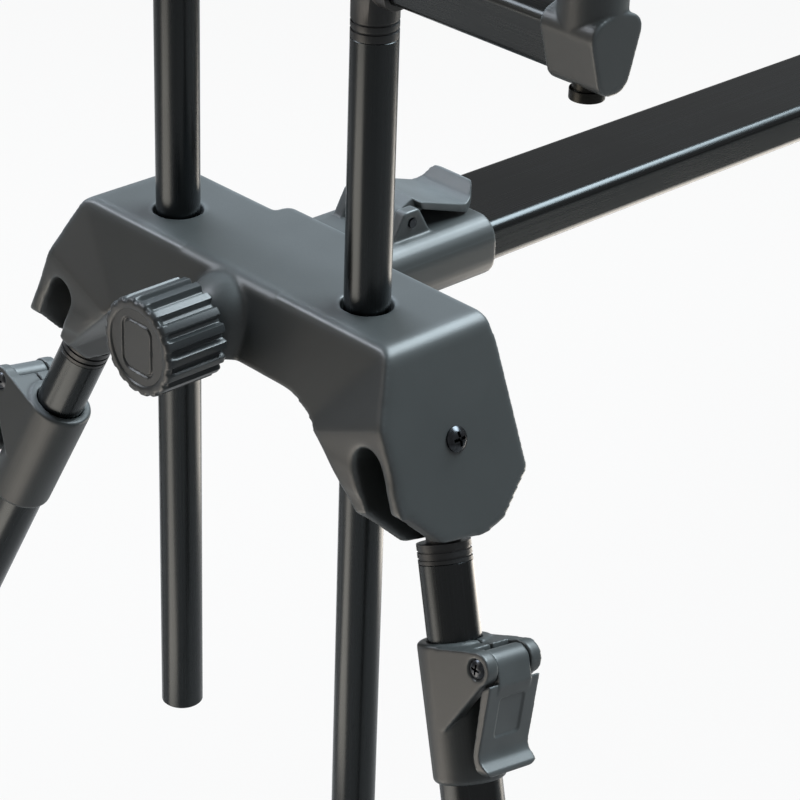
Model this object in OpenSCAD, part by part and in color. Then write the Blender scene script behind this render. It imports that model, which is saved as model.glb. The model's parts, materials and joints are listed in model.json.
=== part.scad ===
// Rod pod: two moulded heads on a telescopic main bar, four folding telescopic legs
// and two pairs of uprights that carry buzz bars for bite alarms and rod rests.
// X runs across the pod, Y along the main bar, Z up from the ground.

/* [Stance] */
// Height of the top of the heads above the ground
head_top = 400; // [380:5:450]
// Distance from the middle of the pod to the uprights at each end
head_reach = 400; // [385:5:460]
// Sideways splay of the legs and of the end plates, in degrees
splay = 23; // [19:0.5:26]
// Outward lean of the unfolded legs, in degrees
leg_lean = 9.6; // [6:0.1:13]

/* [Head] */
// Distance from the middle of the head to an end plate's face, square to that face
plate_reach = 87.6; // [85:0.5:95]
// Distance from the head's top to the leg hinges, along the end plate
hinge_drop = 79.7; // [76:0.5:86]
// Distance from the uprights to the front of the head's top
top_front = 22.5; // [21:0.5:26]
// Distance from the uprights to the back of the head
head_back = 31; // [28:0.5:36]
// Distance from the uprights to the back of the bar socket
socket_back = 39; // [37:0.5:42]
// Width of the bar socket
socket_w = 63.4; // [60:0.2:66]
// Distance from the leg hinges to the front of the hinge housings
housing_front = 35; // [32:0.5:38]
// Distance from the leg hinges to the back of the hinge housings
housing_back = 33; // [31.5:0.5:36]
// Distance from the leg hinge to the facets under a housing
housing_depth = 38.5; // [36:0.5:41]
// Depth of the head over the middle of its arch
head_depth = 33; // [32:0.5:38]
// Half the width of the flat part under the arch
arch_half = 42; // [36:1:46]
// Radius of the arch
arch_r = 35; // [30:1:40]
// Thickness of the outer wall of a hinge housing
plate_t = 7.4; // [5:0.1:9]
// Thickness of the inner wall of a hinge housing at its lower end
inner_wall = 5; // [4:0.1:8]
// Radius of the rounded edges along the top
top_fillet = 6; // [2:0.5:8]
// Radius of the rounded edge along the back of the top
back_fillet = 2; // [1:0.5:4]
// Radius of the round boss behind the clamp knob
boss_r = 18.5; // [16:0.5:19]
// Distance from the uprights to the front of the boss
boss_front = 39.5; // [37:0.5:44]
// Depth of the clamp knob's axis below the head's top
clamp_drop = 20.3; // [19:0.1:22]

/* [Clamp knob] */
// Diameter of the clamp knob
knob_d = 42; // [36:0.5:46]
// Length of the clamp knob
knob_len = 30; // [20:0.5:34]
// Number of grooves around the clamp knob
knob_grooves = 18; // [12:1:24]
// Diameter of the knob's threaded stud
stud_d = 8; // [6:0.5:9]
// Outer diameter of the brass insert in the boss
insert_d = 14; // [12:0.5:16]
// Height of the clamp yoke
yoke_h = 14; // [10:0.5:16]

/* [Main bar] */
// Width of the main bar tube
bar_w = 50; // [46:0.5:54]
// Height of the main bar tube
bar_h = 19; // [17:0.5:20]
// Wall of the bar tubes
bar_wall = 2.5; // [1.5:0.1:3]
// Depth of the bar's middle below the head's top
bar_drop = 18.1; // [17.5:0.1:19]
// How far each head slides out with its inner bar
bar_travel = 180; // [120:5:200]
// Length of a clamp collar
collar_len = 63.5; // [60:0.5:70]
// How far a collar holds the end of the main bar tube
collar_grip = 26; // [20:0.5:28]
// Wall of a collar around the main bar tube
collar_wall = 4.6; // [3.5:0.1:6]
// Distance from the uprights to the collar's lever pin
bar_pin_y = 62.5; // [60:0.5:64]
// Height of the collar's lever pin above the collar's top
bar_pin_rise = 6.4; // [6:0.1:9]

/* [Uprights] */
// Diameter of the upright tubes
upright_d = 19; // [17:0.5:20]
// Distance between the uprights of one pair
upright_gap = 118; // [112:1:122]
// How far the uprights reach below the head's top
upright_below = 250; // [200:2:280]
// Height of the buzz bar's lower edge above the head's top
buzz_rise = 128; // [100:1:180]
// Wall of the upright and leg tubes
tube_wall = 1.4; // [1:0.1:1.6]

/* [Buzz bar] */
// Distance from the middle of a buzz bar to its outer alarm threads
alarm_x = 167.5; // [150:0.5:200]
// Width of the aluminium profile
buzz_w = 21.5; // [20:0.5:24]
// Height of the profile
buzz_h = 25.5; // [24:0.5:31]
// Wall of the profile and of the mouldings around it
buzz_wall = 2.5; // [2:0.1:3]
// Length of the end caps
cap_len = 25.5; // [23:0.5:34]
// Diameter of the round bosses that hold the inserts
alarm_boss_d = 25; // [20:0.5:26]
// Height of the bosses above the profile
alarm_boss_rise = 12; // [8:0.5:16]
// Diameter of the alarm thread's bore
alarm_bore_d = 8.4; // [8:0.1:9]
// Depth of the alarm thread
alarm_depth = 25; // [15:1:30]

/* [Legs] */
// Diameter of the upper leg tubes
leg_d = 22; // [21:0.5:23]
// Diameter of the leg plug's finger
finger_d = 13.9; // [12.9:0.1:14.9]
// Diameter of the hinge screws
hinge_d = 5; // [4:0.1:6]
// Length of the plug's ringed collar
ring_len = 8; // [7:0.5:12]
// Length of upper tube that shows above the lock
leg_show = 31; // [28:1:60]
// How far the lower legs slide out
leg_travel = 170; // [120:5:185]
// Length of a leg lock body
lock_len = 57; // [54:1:62]
// Wall of the lock body around the lower tube
lock_wall = 2.5; // [2.1:0.1:3]
// Distance from the lever pin to the leg's axis
lock_pin_out = 25.6; // [24:0.1:27]
// Turn of the locks around their legs, towards the bar, in degrees
lock_turn = 3; // [-10:1:10]
// Radius of the rubber feet
foot_r = 17; // [16:0.5:19]

/* [Clearances] */
// Gap around what slides
slide_gap = 0.35; // [0.3:0.05:0.5]
// Gap around what turns on a pin
pin_gap = 0.05; // [0.02:0.01:0.08]
// Gap around a fixed insert
seat_gap = 0.05; // [0.02:0.01:0.1]
// Gap between a moving piece and the moulding beside it
swing_gap = 0.3; // [0.3:0.05:0.6]

/* [Hidden] */
$fn = 64;
arc_steps = 6;
far = 400;

ends = ["front", "rear"];
sides = ["left", "right"];

moulding = "#3a4045";
anodised = "#17181a";
steel = "#4a4d50";
brass = "#b08d45";
rubber = "#1f1f20";

// Head: the hinge slot takes the plug's finger, and the leg's axis runs down its middle
slot_r = finger_d / 2 + swing_gap;
hinge_reach = plate_reach - plate_t - slot_r;
housing_inner = hinge_reach - slot_r - inner_wall;
top_half = plate_reach / cos(splay);
bore_r = upright_d / 2 + 0.2;
mouth_r = bore_r + 1;
mouth_depth = 5;
screw_head_r = hinge_d * 1.04;
screw_head_h = 2.6;
nut_r = hinge_d * 0.92;
nut_h = 4;
nut_reach = housing_inner - 7;
swing_r = housing_depth + 1.9;
shoulder_drop = 23.3;
knee_rise = 14.7;
head_low = hinge_drop + 60;
arch_end = 37;
foot_facet_angle = 10.5;
front_facet_angle = 47;
back_facet_angle = 40.5;

// Main bar: the inner bar slides in the main bar tube
inner_w = bar_w - 2 * (bar_wall + slide_gap);
inner_h = bar_h - 2 * (bar_wall + slide_gap);
bar_edge = 4.5;
socket_start = -4;
collar_start = socket_back + 0.5;
collar_end = collar_start + collar_len;
tube_start = collar_end - collar_grip;
bar_overlap = 38;
inner_bar_reach = tube_start + bar_travel + bar_overlap;
collar_w = bar_w + 2 * collar_wall;
collar_h = bar_h + 2 * collar_wall;
collar_top = -bar_drop + collar_h / 2;
collar_edge = 10.5;
bar_pin_z = collar_top + bar_pin_rise;
bar_pin_r = 2;
bar_cam_r = 5;
ear_out = 19;
ear_in = 13;
bar_lever_half = 17.5;
bar_shoe_half = ear_in - 2.5;
bar_shoe_len = 15;
ear_rise = bar_pin_rise + 5.5;

// Clamp: the stud pushes the yoke against both uprights
yoke_front = 17;
yoke_back = 6;
stud_r = stud_d / 2;
knob_rear = boss_front + 0.4;
stud_in_knob = knob_len - 6;

// Buzz bar: corners of the shield section, as across, up and radius
buzz_corners = [
    [-4.5, 0, 4.5], [4.5, 0, 4.5],
    [buzz_w / 2, buzz_h - 3.5, 3.5], [0, buzz_h + 0.8, 18], [-buzz_w / 2, buzz_h - 3.5, 3.5]
];
socket_len = 26;
ring_depth = 0.6;
ring_w = 1;
fitting_len = 16;
spigot_len = 17;
socket_rings = [8.5, 11.8];
plug_rings = [2.5, 5.5];
insert_r = alarm_bore_d / 2 + 1.3;
cap_end = alarm_x + alarm_boss_d / 2;
cap_start = cap_end - cap_len;
buzz_half = alarm_x - insert_r - 1.5;
boss_foot = buzz_h - 5;
insert_nut_r = 6.5;
insert_nut_h = 4;

// Legs: distances down the leg from its hinge
plug_start = swing_r + swing_gap;
tube_top = plug_start + ring_len;
lock_top = tube_top + leg_show;
lock_end = lock_top + lock_len;
lower_top = lock_top + 20;
lower_r = leg_d / 2 + slide_gap + tube_wall;
lock_r = lower_r + lock_wall;
lock_pin_down = lock_top + 8.4;
lock_pin_r = 2.4;
lock_split = 1;
split_len = 16;
cheek_in = 9.3;
cheek_out = 15;
cheek_r = 7;
leg_cam_r = 6.2;
leg_overlap = 45;
hinge_z = head_top + plate_height(hinge_reach, hinge_drop);
leg_tilt = cos(leg_lean) * cos(splay);
foot_centre = 13.5;
leg_len = (hinge_z - foot_centre) / leg_tilt;
foot_sleeve = 26;
foot_floor = 6;
upper_end = lower_top + leg_travel + leg_overlap;

// Height of a point in the splayed plane, from its reach and its drop
function plate_height(reach, drop) = reach * sin(splay) - drop * cos(splay);
// The same point as across and up, seen from the front
function plate_point(reach, drop) = [reach * cos(splay) + drop * sin(splay), plate_height(reach, drop)];

function unit(v) = v / norm(v);
function flat(c) = [c[0], c[1]];
// Points of a rounded corner between its two neighbours
function corner_arc(before, corner, after, r) =
    let (a = unit(before - corner), b = unit(after - corner), half = acos(a * b) / 2)
    let (centre = corner + unit(a + b) * r / sin(half))
    let (p = corner + a * r / tan(half) - centre, q = corner + b * r / tan(half) - centre)
    let (start = atan2(p[1], p[0]), sweep = (atan2(q[1], q[0]) - start + 540) % 360 - 180)
    [for (i = [0 : arc_steps]) let (t = start + sweep * i / arc_steps) centre + r * [cos(t), sin(t)]];
// Outline from corners that are each across, along and radius
function rounded(corners) =
    let (n = len(corners))
    [for (i = [0 : n - 1])
        let (c = corners[i], before = flat(corners[(i + n - 1) % n]), after = flat(corners[(i + 1) % n]))
        each c[2] > 0 ? corner_arc(before, flat(c), after, c[2]) : [flat(c)]];
// The same corners moved outwards by a wall
function grown(corners, wall) =
    let (n = len(corners))
    [for (i = [0 : n - 1])
        let (c = flat(corners[i]))
        let (a = unit(flat(corners[(i + n - 1) % n]) - c), b = unit(flat(corners[(i + 1) % n]) - c))
        let (p = c - unit(a + b) * wall / sin(acos(a * b) / 2))
        [p[0], p[1], max(corners[i][2] + wall, 0.5)]];
function box_corners(w, h, r) =
    [[-w / 2, -h / 2, r], [w / 2, -h / 2, r], [w / 2, h / 2, r], [-w / 2, h / 2, r]];
// Corner of two housing facets: each has its angle from straight down and its distance from the hinge
function facet_corner(a, da, b, db) =
    let (y = (da * cos(b) - db * cos(a)) / sin(a - b), w = (sin(a) * db - sin(b) * da) / sin(a - b))
    [y, -hinge_drop - w];

// A flat outline in X and Z, drawn from one Y to another
module along_y(from, to) {
    translate([0, to, 0])
        rotate([90, 0, 0])
            linear_extrude(to - from)
                children();
}

// A flat outline in Y and Z, drawn from one X to another
module along_x(from, to) {
    translate([from, 0, 0])
        rotate([90, 0, 90])
            linear_extrude(to - from)
                children();
}

// A cylinder along Y from one Y to another
module rod_y(r, from, to) {
    translate([0, to, 0])
        rotate([90, 0, 0])
            cylinder(r = r, h = to - from);
}

// A cylinder along X from one X to another
module rod_x(r, from, to) {
    translate([from, 0, 0])
        rotate([0, 90, 0])
            cylinder(r = r, h = to - from);
}

// Place of one head: its origin is at the top, midway between the uprights
module at_head(end) {
    mirror([0, end == "rear" ? 1 : 0, 0])
        translate([0, -head_reach, head_top])
            children();
}

// Plane of an end plate: X runs square to the plate and -Z down it
module at_plate(side) {
    mirror([side == "left" ? 1 : 0, 0, 0])
        rotate([0, -splay, 0])
            children();
}

// Leg: its origin is at the hinge and it runs down -Z
module at_leg(end, side) {
    at_head(end)
        at_plate(side)
            translate([hinge_reach, 0, -hinge_drop])
                rotate([-leg_lean, 0, 0])
                    children();
}

// Lock of a leg: X points the way its lever faces
module at_lock(end, side) {
    at_leg(end, side)
        rotate([0, 0, lock_turn])
            children();
}

module mirrored_x() {
    children();
    mirror([1, 0, 0])
        children();
}

// Head outline from the front, with the arch under it
module head_front() {
    low = plate_point(plate_reach, head_low);
    arch_centre = -head_depth - arch_r;
    arch_corner = [arch_half + arch_r * cos(arch_end), arch_centre + arch_r * sin(arch_end)];
    shoulder = plate_point(housing_inner, hinge_drop + shoulder_drop);
    toe = plate_point(housing_inner, head_low);
    difference() {
        polygon(rounded([
            [-low[0], low[1], 0], [low[0], low[1], 0],
            [top_half, 0, top_fillet * 1.5], [-top_half, 0, top_fillet * 1.5]
        ]));
        translate([-arch_half, -far - head_depth])
            square([2 * arch_half, far]);
        mirrored_x() {
            translate([arch_half, arch_centre])
                circle(r = arch_r, $fn = 128);
            polygon([
                [arch_half, arch_centre], arch_corner, shoulder, toe,
                [toe[0], -far], [arch_half, -far]
            ]);
        }
    }
}

// Head outline from the side, at its middle
module head_middle_side() {
    front_slope = 0.27;
    depth = 60;
    polygon(rounded([
        [-top_front, 0, top_fillet], [head_back, 0, back_fillet],
        [head_back, -depth, 0], [-top_front - front_slope * depth, -depth, 0]
    ]));
}

// Limit of the whole head from the side, which rounds the edges of its top
module head_side_limit() {
    flare = housing_front - top_front + 1;
    front_steepness = 2.1;
    back_drop = head_depth * 0.4;
    polygon(rounded([
        [-top_front, 0, top_fillet], [head_back, 0, back_fillet],
        [housing_back, -back_drop, 0], [housing_back, -far, 0],
        [-housing_front, -far, 0], [-top_front - flare, -flare * front_steepness, 0]
    ]));
}

// Hinge housing outline in the plane of the end plate: a round lower corner lets the leg fold past
module housing_side() {
    foot_facet = housing_depth + 0.8;
    top_corner = plate_reach * tan(splay);
    knee = hinge_drop - knee_rise;
    round_from = 4;
    round_rise = 5;
    intersection() {
        polygon([
            [-top_front, 0], [-top_front, -top_corner], [-housing_front, -knee],
            facet_corner(-90, housing_front, -front_facet_angle, housing_depth),
            facet_corner(-front_facet_angle, housing_depth, -foot_facet_angle, foot_facet),
            facet_corner(-foot_facet_angle, foot_facet, back_facet_angle, housing_depth),
            facet_corner(back_facet_angle, housing_depth, 90, housing_back),
            [housing_back, 0]
        ]);
        union() {
            translate([0, -hinge_drop])
                circle(r = swing_r, $fn = 128);
            translate([-far, -far])
                square([far - round_from, far]);
            translate([-far, -hinge_drop - round_rise])
                square([2 * far, far]);
        }
    }
}

module head_body(end) {
    color(moulding)
        at_head(end)
            difference() {
                head_solid();
                for (side = sides)
                    at_plate(side)
                        hinge_cuts();
                mirrored_x()
                    translate([upright_gap / 2, 0, 0])
                        upright_cuts();
                clamp_cuts();
                mirrored_x()
                    core_cut();
                along_y(socket_start, far)
                    translate([0, -bar_drop])
                        polygon(rounded(grown(box_corners(inner_w, inner_h, bar_edge - 1), seat_gap)));
            }
}

module head_solid() {
    housing_run = 34;
    intersection() {
        along_y(-housing_front - 1, housing_back + 1)
            head_front();
        along_x(-far, far)
            head_side_limit();
        union() {
            along_x(-far, far)
                head_middle_side();
            for (side = sides)
                at_plate(side)
                    along_x(housing_inner - housing_run, plate_reach)
                        housing_side();
        }
    }
    translate([0, boss_r - boss_front, -clamp_drop]) {
        sphere(r = boss_r);
        translate([0, 0, clamp_drop - head_depth])
            cylinder(r = boss_r, h = head_depth - clamp_drop);
    }
    bar_socket();
}

// Socket of the inner bar, which stands out behind the head and is flush with its top
module bar_socket() {
    half = socket_w / 2;
    corner_r = 5;
    intersection() {
        translate([0, 0, -head_depth])
            linear_extrude(head_depth)
                polygon(rounded([
                    [-half, 0, 0], [half, 0, 0],
                    [half, socket_back, corner_r], [-half, socket_back, corner_r]
                ]));
        along_x(-half, half)
            polygon(rounded([
                [0, -head_depth, 0], [socket_back, -head_depth, 0],
                [socket_back, 0, back_fillet], [0, 0, 0]
            ]));
    }
}

// Slot, screw hole and nut pocket of one hinge
module hinge_cuts() {
    along_y(-far, far)
        translate([hinge_reach, -hinge_drop]) {
            circle(r = slot_r);
            translate([-slot_r, -far])
                square([2 * slot_r, far]);
        }
    translate([0, 0, -hinge_drop]) {
        rod_x(hinge_d / 2 + seat_gap, 0, plate_reach + 1);
        translate([nut_reach + nut_h - 30, 0, 0])
            rotate([0, 90, 0])
                cylinder(r = nut_r + 0.15, h = 30, $fn = 6);
    }
}

module upright_cuts() {
    translate([0, 0, -far / 2])
        cylinder(r = bore_r, h = far);
    translate([0, 0, -mouth_depth])
        cylinder(r = mouth_r, h = far);
}

// Moulding pocket under the head, between the bar socket and an upright
module core_cut() {
    skin = 7;
    wall = 3.5;
    from = inner_w / 2 + seat_gap + wall;
    to = upright_gap / 2 - bore_r - wall;
    translate([from, -yoke_back + wall, -far])
        cube([to - from, head_back + yoke_back - 2 * wall, far - skin]);
}

module clamp_cuts() {
    half = upright_gap / 2 + bore_r;
    translate([-half, -yoke_front - swing_gap, -clamp_drop - yoke_h / 2 - swing_gap])
        cube([2 * half, yoke_front - yoke_back + 2 * swing_gap, yoke_h + 2 * swing_gap]);
    translate([0, 0, -clamp_drop])
        rod_y(insert_d / 2 + seat_gap, -far, -yoke_front);
}

module inner_bar(end) {
    color(anodised)
        at_head(end)
            along_y(socket_start, inner_bar_reach)
                translate([0, -bar_drop])
                    difference() {
                        polygon(rounded(box_corners(inner_w, inner_h, bar_edge - 1)));
                        polygon(rounded(box_corners(inner_w - 2 * bar_wall, inner_h - 2 * bar_wall, 0.5)));
                    }
}

module clamp_yoke(end) {
    half = upright_gap / 2 + upright_d / 2;
    color(steel)
        at_head(end)
            difference() {
                translate([-half, -yoke_front, -clamp_drop - yoke_h / 2])
                    cube([2 * half, yoke_front - yoke_back, yoke_h]);
                mirrored_x()
                    translate([upright_gap / 2, 0, -far / 2])
                        cylinder(r = bore_r + 0.1, h = far);
            }
}

module clamp_insert(end) {
    color(brass)
        at_head(end)
            translate([0, 0, -clamp_drop])
                difference() {
                    rod_y(insert_d / 2, -boss_front + 0.5, -yoke_front - 1);
                    rod_y(stud_r + pin_gap, -far, far);
                }
}

module hinge_screws(end) {
    color(steel)
        at_head(end)
            for (side = sides)
                at_plate(side)
                    translate([0, 0, -hinge_drop])
                        hinge_screw();
}

// Cross-head screw with a domed head, and its hexagon nut
module hinge_screw() {
    recess = 1.5;
    difference() {
        union() {
            rod_x(hinge_d / 2, nut_reach, plate_reach + 1);
            translate([plate_reach, 0, 0])
                rotate([0, 90, 0])
                    rotate_extrude()
                        polygon(rounded([
                            [0, 0, 0], [screw_head_r, 0, 0], [screw_head_r, screw_head_h, screw_head_h * 0.8],
                            [0, screw_head_h, 0]
                        ]));
            translate([nut_reach, 0, 0])
                rotate([0, 90, 0])
                    cylinder(r = nut_r, h = nut_h, $fn = 6);
        }
        for (turn = [45, 135])
            translate([plate_reach + screw_head_h, 0, 0])
                rotate([turn, 0, 0])
                    cube([2 * recess, screw_head_r * 1.1, screw_head_r * 0.24], center = true);
    }
}

module knob(end) {
    groove_r = PI * knob_d / knob_grooves / 5;
    knob_r = knob_d / 2;
    rim = 4;
    dish = 0.8;
    color(moulding)
        at_head(end)
            translate([0, -knob_rear, -clamp_drop])
                difference() {
                    rotate([90, 0, 0])
                        difference() {
                            rotate_extrude()
                                polygon(rounded([
                                    [0, 0, 0], [knob_r, 0, 1], [knob_r, knob_len, 2.2],
                                    [knob_r - rim, knob_len, 0], [knob_r - rim - dish, knob_len - dish, 0],
                                    [0, knob_len - dish, 0]
                                ]));
                            for (i = [1 : knob_grooves])
                                rotate([0, 0, i * 360 / knob_grooves])
                                    translate([knob_r + groove_r * 0.25, 0, -1])
                                        cylinder(r = groove_r, h = knob_len + 2, $fn = 24);
                        }
                    rod_y(stud_r, -stud_in_knob, 1);
                }
}

module knob_stud(end) {
    color(steel)
        at_head(end)
            translate([0, 0, -clamp_drop])
                rod_y(stud_r, -knob_rear - stud_in_knob, -yoke_front - 0.2);
}

module main_bar_tube() {
    half = head_reach - tube_start;
    color(anodised)
        translate([0, 0, head_top - bar_drop])
            along_y(-half, half)
                difference() {
                    polygon(rounded(box_corners(bar_w, bar_h, bar_edge)));
                    polygon(rounded(box_corners(bar_w - 2 * bar_wall, bar_h - 2 * bar_wall, 0.8)));
                }
}

module bar_collar(end) {
    color(moulding)
        at_head(end)
            difference() {
                union() {
                    along_y(collar_start, collar_end)
                        translate([0, -bar_drop])
                            polygon(rounded(box_corners(collar_w, collar_h, collar_edge)));
                    mirrored_x()
                        along_x(ear_in, ear_out)
                            collar_ear();
                }
                along_y(-far, tube_start)
                    translate([0, -bar_drop])
                        square([inner_w + 2 * slide_gap, inner_h + 2 * slide_gap], center = true);
                along_y(tube_start, far)
                    translate([0, -bar_drop])
                        polygon(rounded(box_corners(bar_w + 2 * seat_gap, bar_h + 2 * seat_gap, bar_edge)));
                translate([-bar_shoe_half - swing_gap, bar_pin_y - bar_shoe_len / 2 - swing_gap, -bar_drop])
                    cube([2 * (bar_shoe_half + swing_gap), bar_shoe_len + 2 * swing_gap, far]);
                translate([0, bar_pin_y, bar_pin_z])
                    rod_x(bar_cam_r + swing_gap, -ear_in, ear_in);
                translate([0, bar_pin_y, bar_pin_z])
                    rod_x(bar_pin_r + seat_gap, -far, far);
            }
}

// Ear of a collar, seen from the side
module collar_ear() {
    foot = collar_top - 3;
    top = collar_top + ear_rise;
    polygon(rounded([
        [bar_pin_y - 12.5, foot, 0], [bar_pin_y + 12.5, foot, 0],
        [bar_pin_y + 4, top, 1.5], [bar_pin_y - 4, top, 1.5]
    ]));
}

module bar_clamp_shoes() {
    floor = -bar_drop + inner_h / 2 + slide_gap;
    color(steel)
        for (end = ends)
            at_head(end)
                difference() {
                    translate([-bar_shoe_half, bar_pin_y - bar_shoe_len / 2, floor])
                        cube([2 * bar_shoe_half, bar_shoe_len, collar_top - 0.5 - floor]);
                    translate([0, bar_pin_y, bar_pin_z])
                        rod_x(bar_cam_r + swing_gap, -far, far);
                }
}

module bar_lever_pins() {
    color(steel)
        for (end = ends)
            at_head(end)
                translate([0, bar_pin_y, bar_pin_z])
                    rod_x(bar_pin_r, -ear_out - 0.6, ear_out + 0.6);
}

// Cam lever of a collar: a barrel between the ears, and a wider plate with a curled tip
module bar_lever(end) {
    tip = 45;
    side = [
        [5.5, 7.6, 0.5], [34, -1.6, 6], [38, 0, 3], [42, 5.4, 0.8],
        [tip, 3.6, 0.8], [40.5, -3.6, 5], [34.5, -5.8, 6], [7.5, 3.4, 0.5]
    ];
    plan = [
        [-bar_lever_half, 4, 1], [bar_lever_half, 4, 1],
        [bar_lever_half, tip, 15], [-bar_lever_half, tip, 15]
    ];
    link = [[0, bar_cam_r], [6, 7.6], [14, 4.6], [14, 1.2], [8, -1], [0, -bar_cam_r + 1]];
    color(moulding)
        at_head(end)
            translate([0, bar_pin_y, bar_pin_z])
                difference() {
                    union() {
                        intersection() {
                            along_x(-ear_out, ear_out)
                                polygon(rounded(side));
                            translate([0, 0, -far / 2])
                                linear_extrude(far)
                                    polygon(rounded(plan));
                        }
                        along_x(-ear_in + swing_gap, ear_in - swing_gap) {
                            polygon(link);
                            circle(r = bar_cam_r);
                        }
                    }
                    rod_x(bar_pin_r + pin_gap, -far, far);
                }
}

module uprights(end) {
    color(anodised)
        at_head(end)
            mirrored_x()
                translate([upright_gap / 2, 0, -upright_below])
                    tube(upright_d / 2, upright_below + buzz_rise - fitting_len);
}

// Round tube standing on its lower end
module tube(r, length) {
    difference() {
        cylinder(r = r, h = length);
        translate([0, 0, -1])
            cylinder(r = r - tube_wall, h = length + 2);
    }
}

module upright_fittings(end) {
    color(moulding)
        at_head(end)
            mirrored_x()
                translate([upright_gap / 2, 0, 0]) {
                    translate([0, 0, -upright_below])
                        upright_plug();
                    translate([0, 0, buzz_rise])
                        upright_socket();
                }
}

// Domed plug in the lower end of an upright
module upright_plug() {
    plug_r = upright_d / 2 - tube_wall - seat_gap;
    plug_len = 14;
    dome_rise = plug_r * 1.6;
    cylinder(r = plug_r, h = plug_len);
    intersection() {
        translate([0, 0, dome_rise])
            sphere(r = norm([plug_r, dome_rise]));
        translate([0, 0, -plug_len])
            cylinder(r = plug_r, h = plug_len);
    }
}

// Ringed collar on the top of an upright, with the sleeve that holds the buzz bar
module upright_socket() {
    difference() {
        union() {
            rotate_extrude()
                ringed_side(upright_d / 2, fitting_len, socket_rings);
            translate([0, 0, -fitting_len - spigot_len])
                cylinder(r = upright_d / 2 - tube_wall - seat_gap, h = spigot_len + 1);
            translate([0, 0, -1])
                cylinder(r = upright_d / 2, h = buzz_h / 2);
            along_x(-socket_len / 2, socket_len / 2)
                polygon(rounded(grown(buzz_corners, buzz_wall)));
        }
        along_x(-far, far)
            polygon(rounded(grown(buzz_corners, seat_gap)));
    }
}

// Half section of a collar that hangs down from zero, with ring grooves at the given depths
module ringed_side(r, length, rings) {
    difference() {
        translate([0, -length])
            square([r, length]);
        for (drop = rings)
            translate([r - ring_depth, -drop - ring_w])
                square([2 * ring_depth, ring_w]);
    }
}

module buzz_bar(end) {
    color(anodised)
        at_head(end)
            translate([0, 0, buzz_rise])
                difference() {
                    along_x(-buzz_half, buzz_half)
                        difference() {
                            polygon(rounded(buzz_corners));
                            polygon(rounded(grown(buzz_corners, -buzz_wall)));
                        }
                    translate([0, 0, -far / 2])
                        cylinder(r = insert_r + seat_gap, h = far);
                }
}

module buzz_mouldings(end) {
    color(moulding)
        at_head(end)
            translate([0, 0, buzz_rise]) {
                mirrored_x()
                    end_cap();
                middle_saddle();
            }
}

// End cap: a shoe over the end of the profile, with the round boss for the alarm thread
module end_cap() {
    difference() {
        union() {
            along_x(cap_start, cap_end)
                polygon(rounded(grown(buzz_corners, buzz_wall)));
            translate([alarm_x, 0, boss_foot])
                cylinder(r = alarm_boss_d / 2, h = buzz_h + alarm_boss_rise - boss_foot);
        }
        along_x(cap_start - 1, buzz_half + seat_gap)
            polygon(rounded(grown(buzz_corners, seat_gap)));
        translate([alarm_x, 0, -far / 2])
            cylinder(r = insert_r + seat_gap, h = far);
    }
}

// Saddle on the middle of the profile
module middle_saddle() {
    saddle_half = alarm_boss_d / 2 + 3;
    difference() {
        union() {
            along_x(-saddle_half, saddle_half)
                polygon(rounded(grown(buzz_corners, buzz_wall)));
            translate([0, 0, boss_foot])
                cylinder(r = alarm_boss_d / 2, h = buzz_h + alarm_boss_rise - boss_foot);
        }
        along_x(-far, far)
            polygon(rounded(grown(buzz_corners, seat_gap)));
        translate([0, 0, -far / 2])
            cylinder(r = insert_r + seat_gap, h = far);
    }
}

module buzz_inserts(end) {
    color(brass)
        at_head(end)
            for (x = [-alarm_x, 0, alarm_x])
                translate([x, 0, buzz_rise])
                    alarm_insert();
}

// Threaded bush right through the bar, with a round nut below
module alarm_insert() {
    top = buzz_h + alarm_boss_rise + 1;
    nut_top = -buzz_wall - 0.5;
    difference() {
        union() {
            translate([0, 0, nut_top])
                cylinder(r = insert_r, h = top - nut_top);
            translate([0, 0, nut_top - insert_nut_h])
                cylinder(r = insert_nut_r, h = insert_nut_h);
        }
        translate([0, 0, top - alarm_depth])
            cylinder(r = alarm_bore_d / 2, h = far);
    }
}

module leg_plug(end, side) {
    color(moulding)
        at_leg(end, side)
            difference() {
                union() {
                    sphere(r = finger_d / 2);
                    translate([0, 0, -plug_start - 1])
                        cylinder(r = finger_d / 2, h = plug_start + 1);
                    translate([0, 0, -plug_start])
                        rotate_extrude()
                            ringed_side(leg_d / 2, ring_len, plug_rings);
                    translate([0, 0, -tube_top - spigot_len])
                        cylinder(r = leg_d / 2 - tube_wall - seat_gap, h = spigot_len + 1);
                }
                rod_x(hinge_d / 2 + pin_gap, -far, far);
            }
}

module upper_tube(end, side) {
    color(anodised)
        at_leg(end, side)
            translate([0, 0, -upper_end])
                tube(leg_d / 2, upper_end - tube_top);
}

module lower_tube(end, side) {
    color(anodised)
        at_leg(end, side)
            translate([0, 0, -leg_len + foot_floor])
                tube(lower_r, leg_len - foot_floor - lower_top);
}

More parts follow.
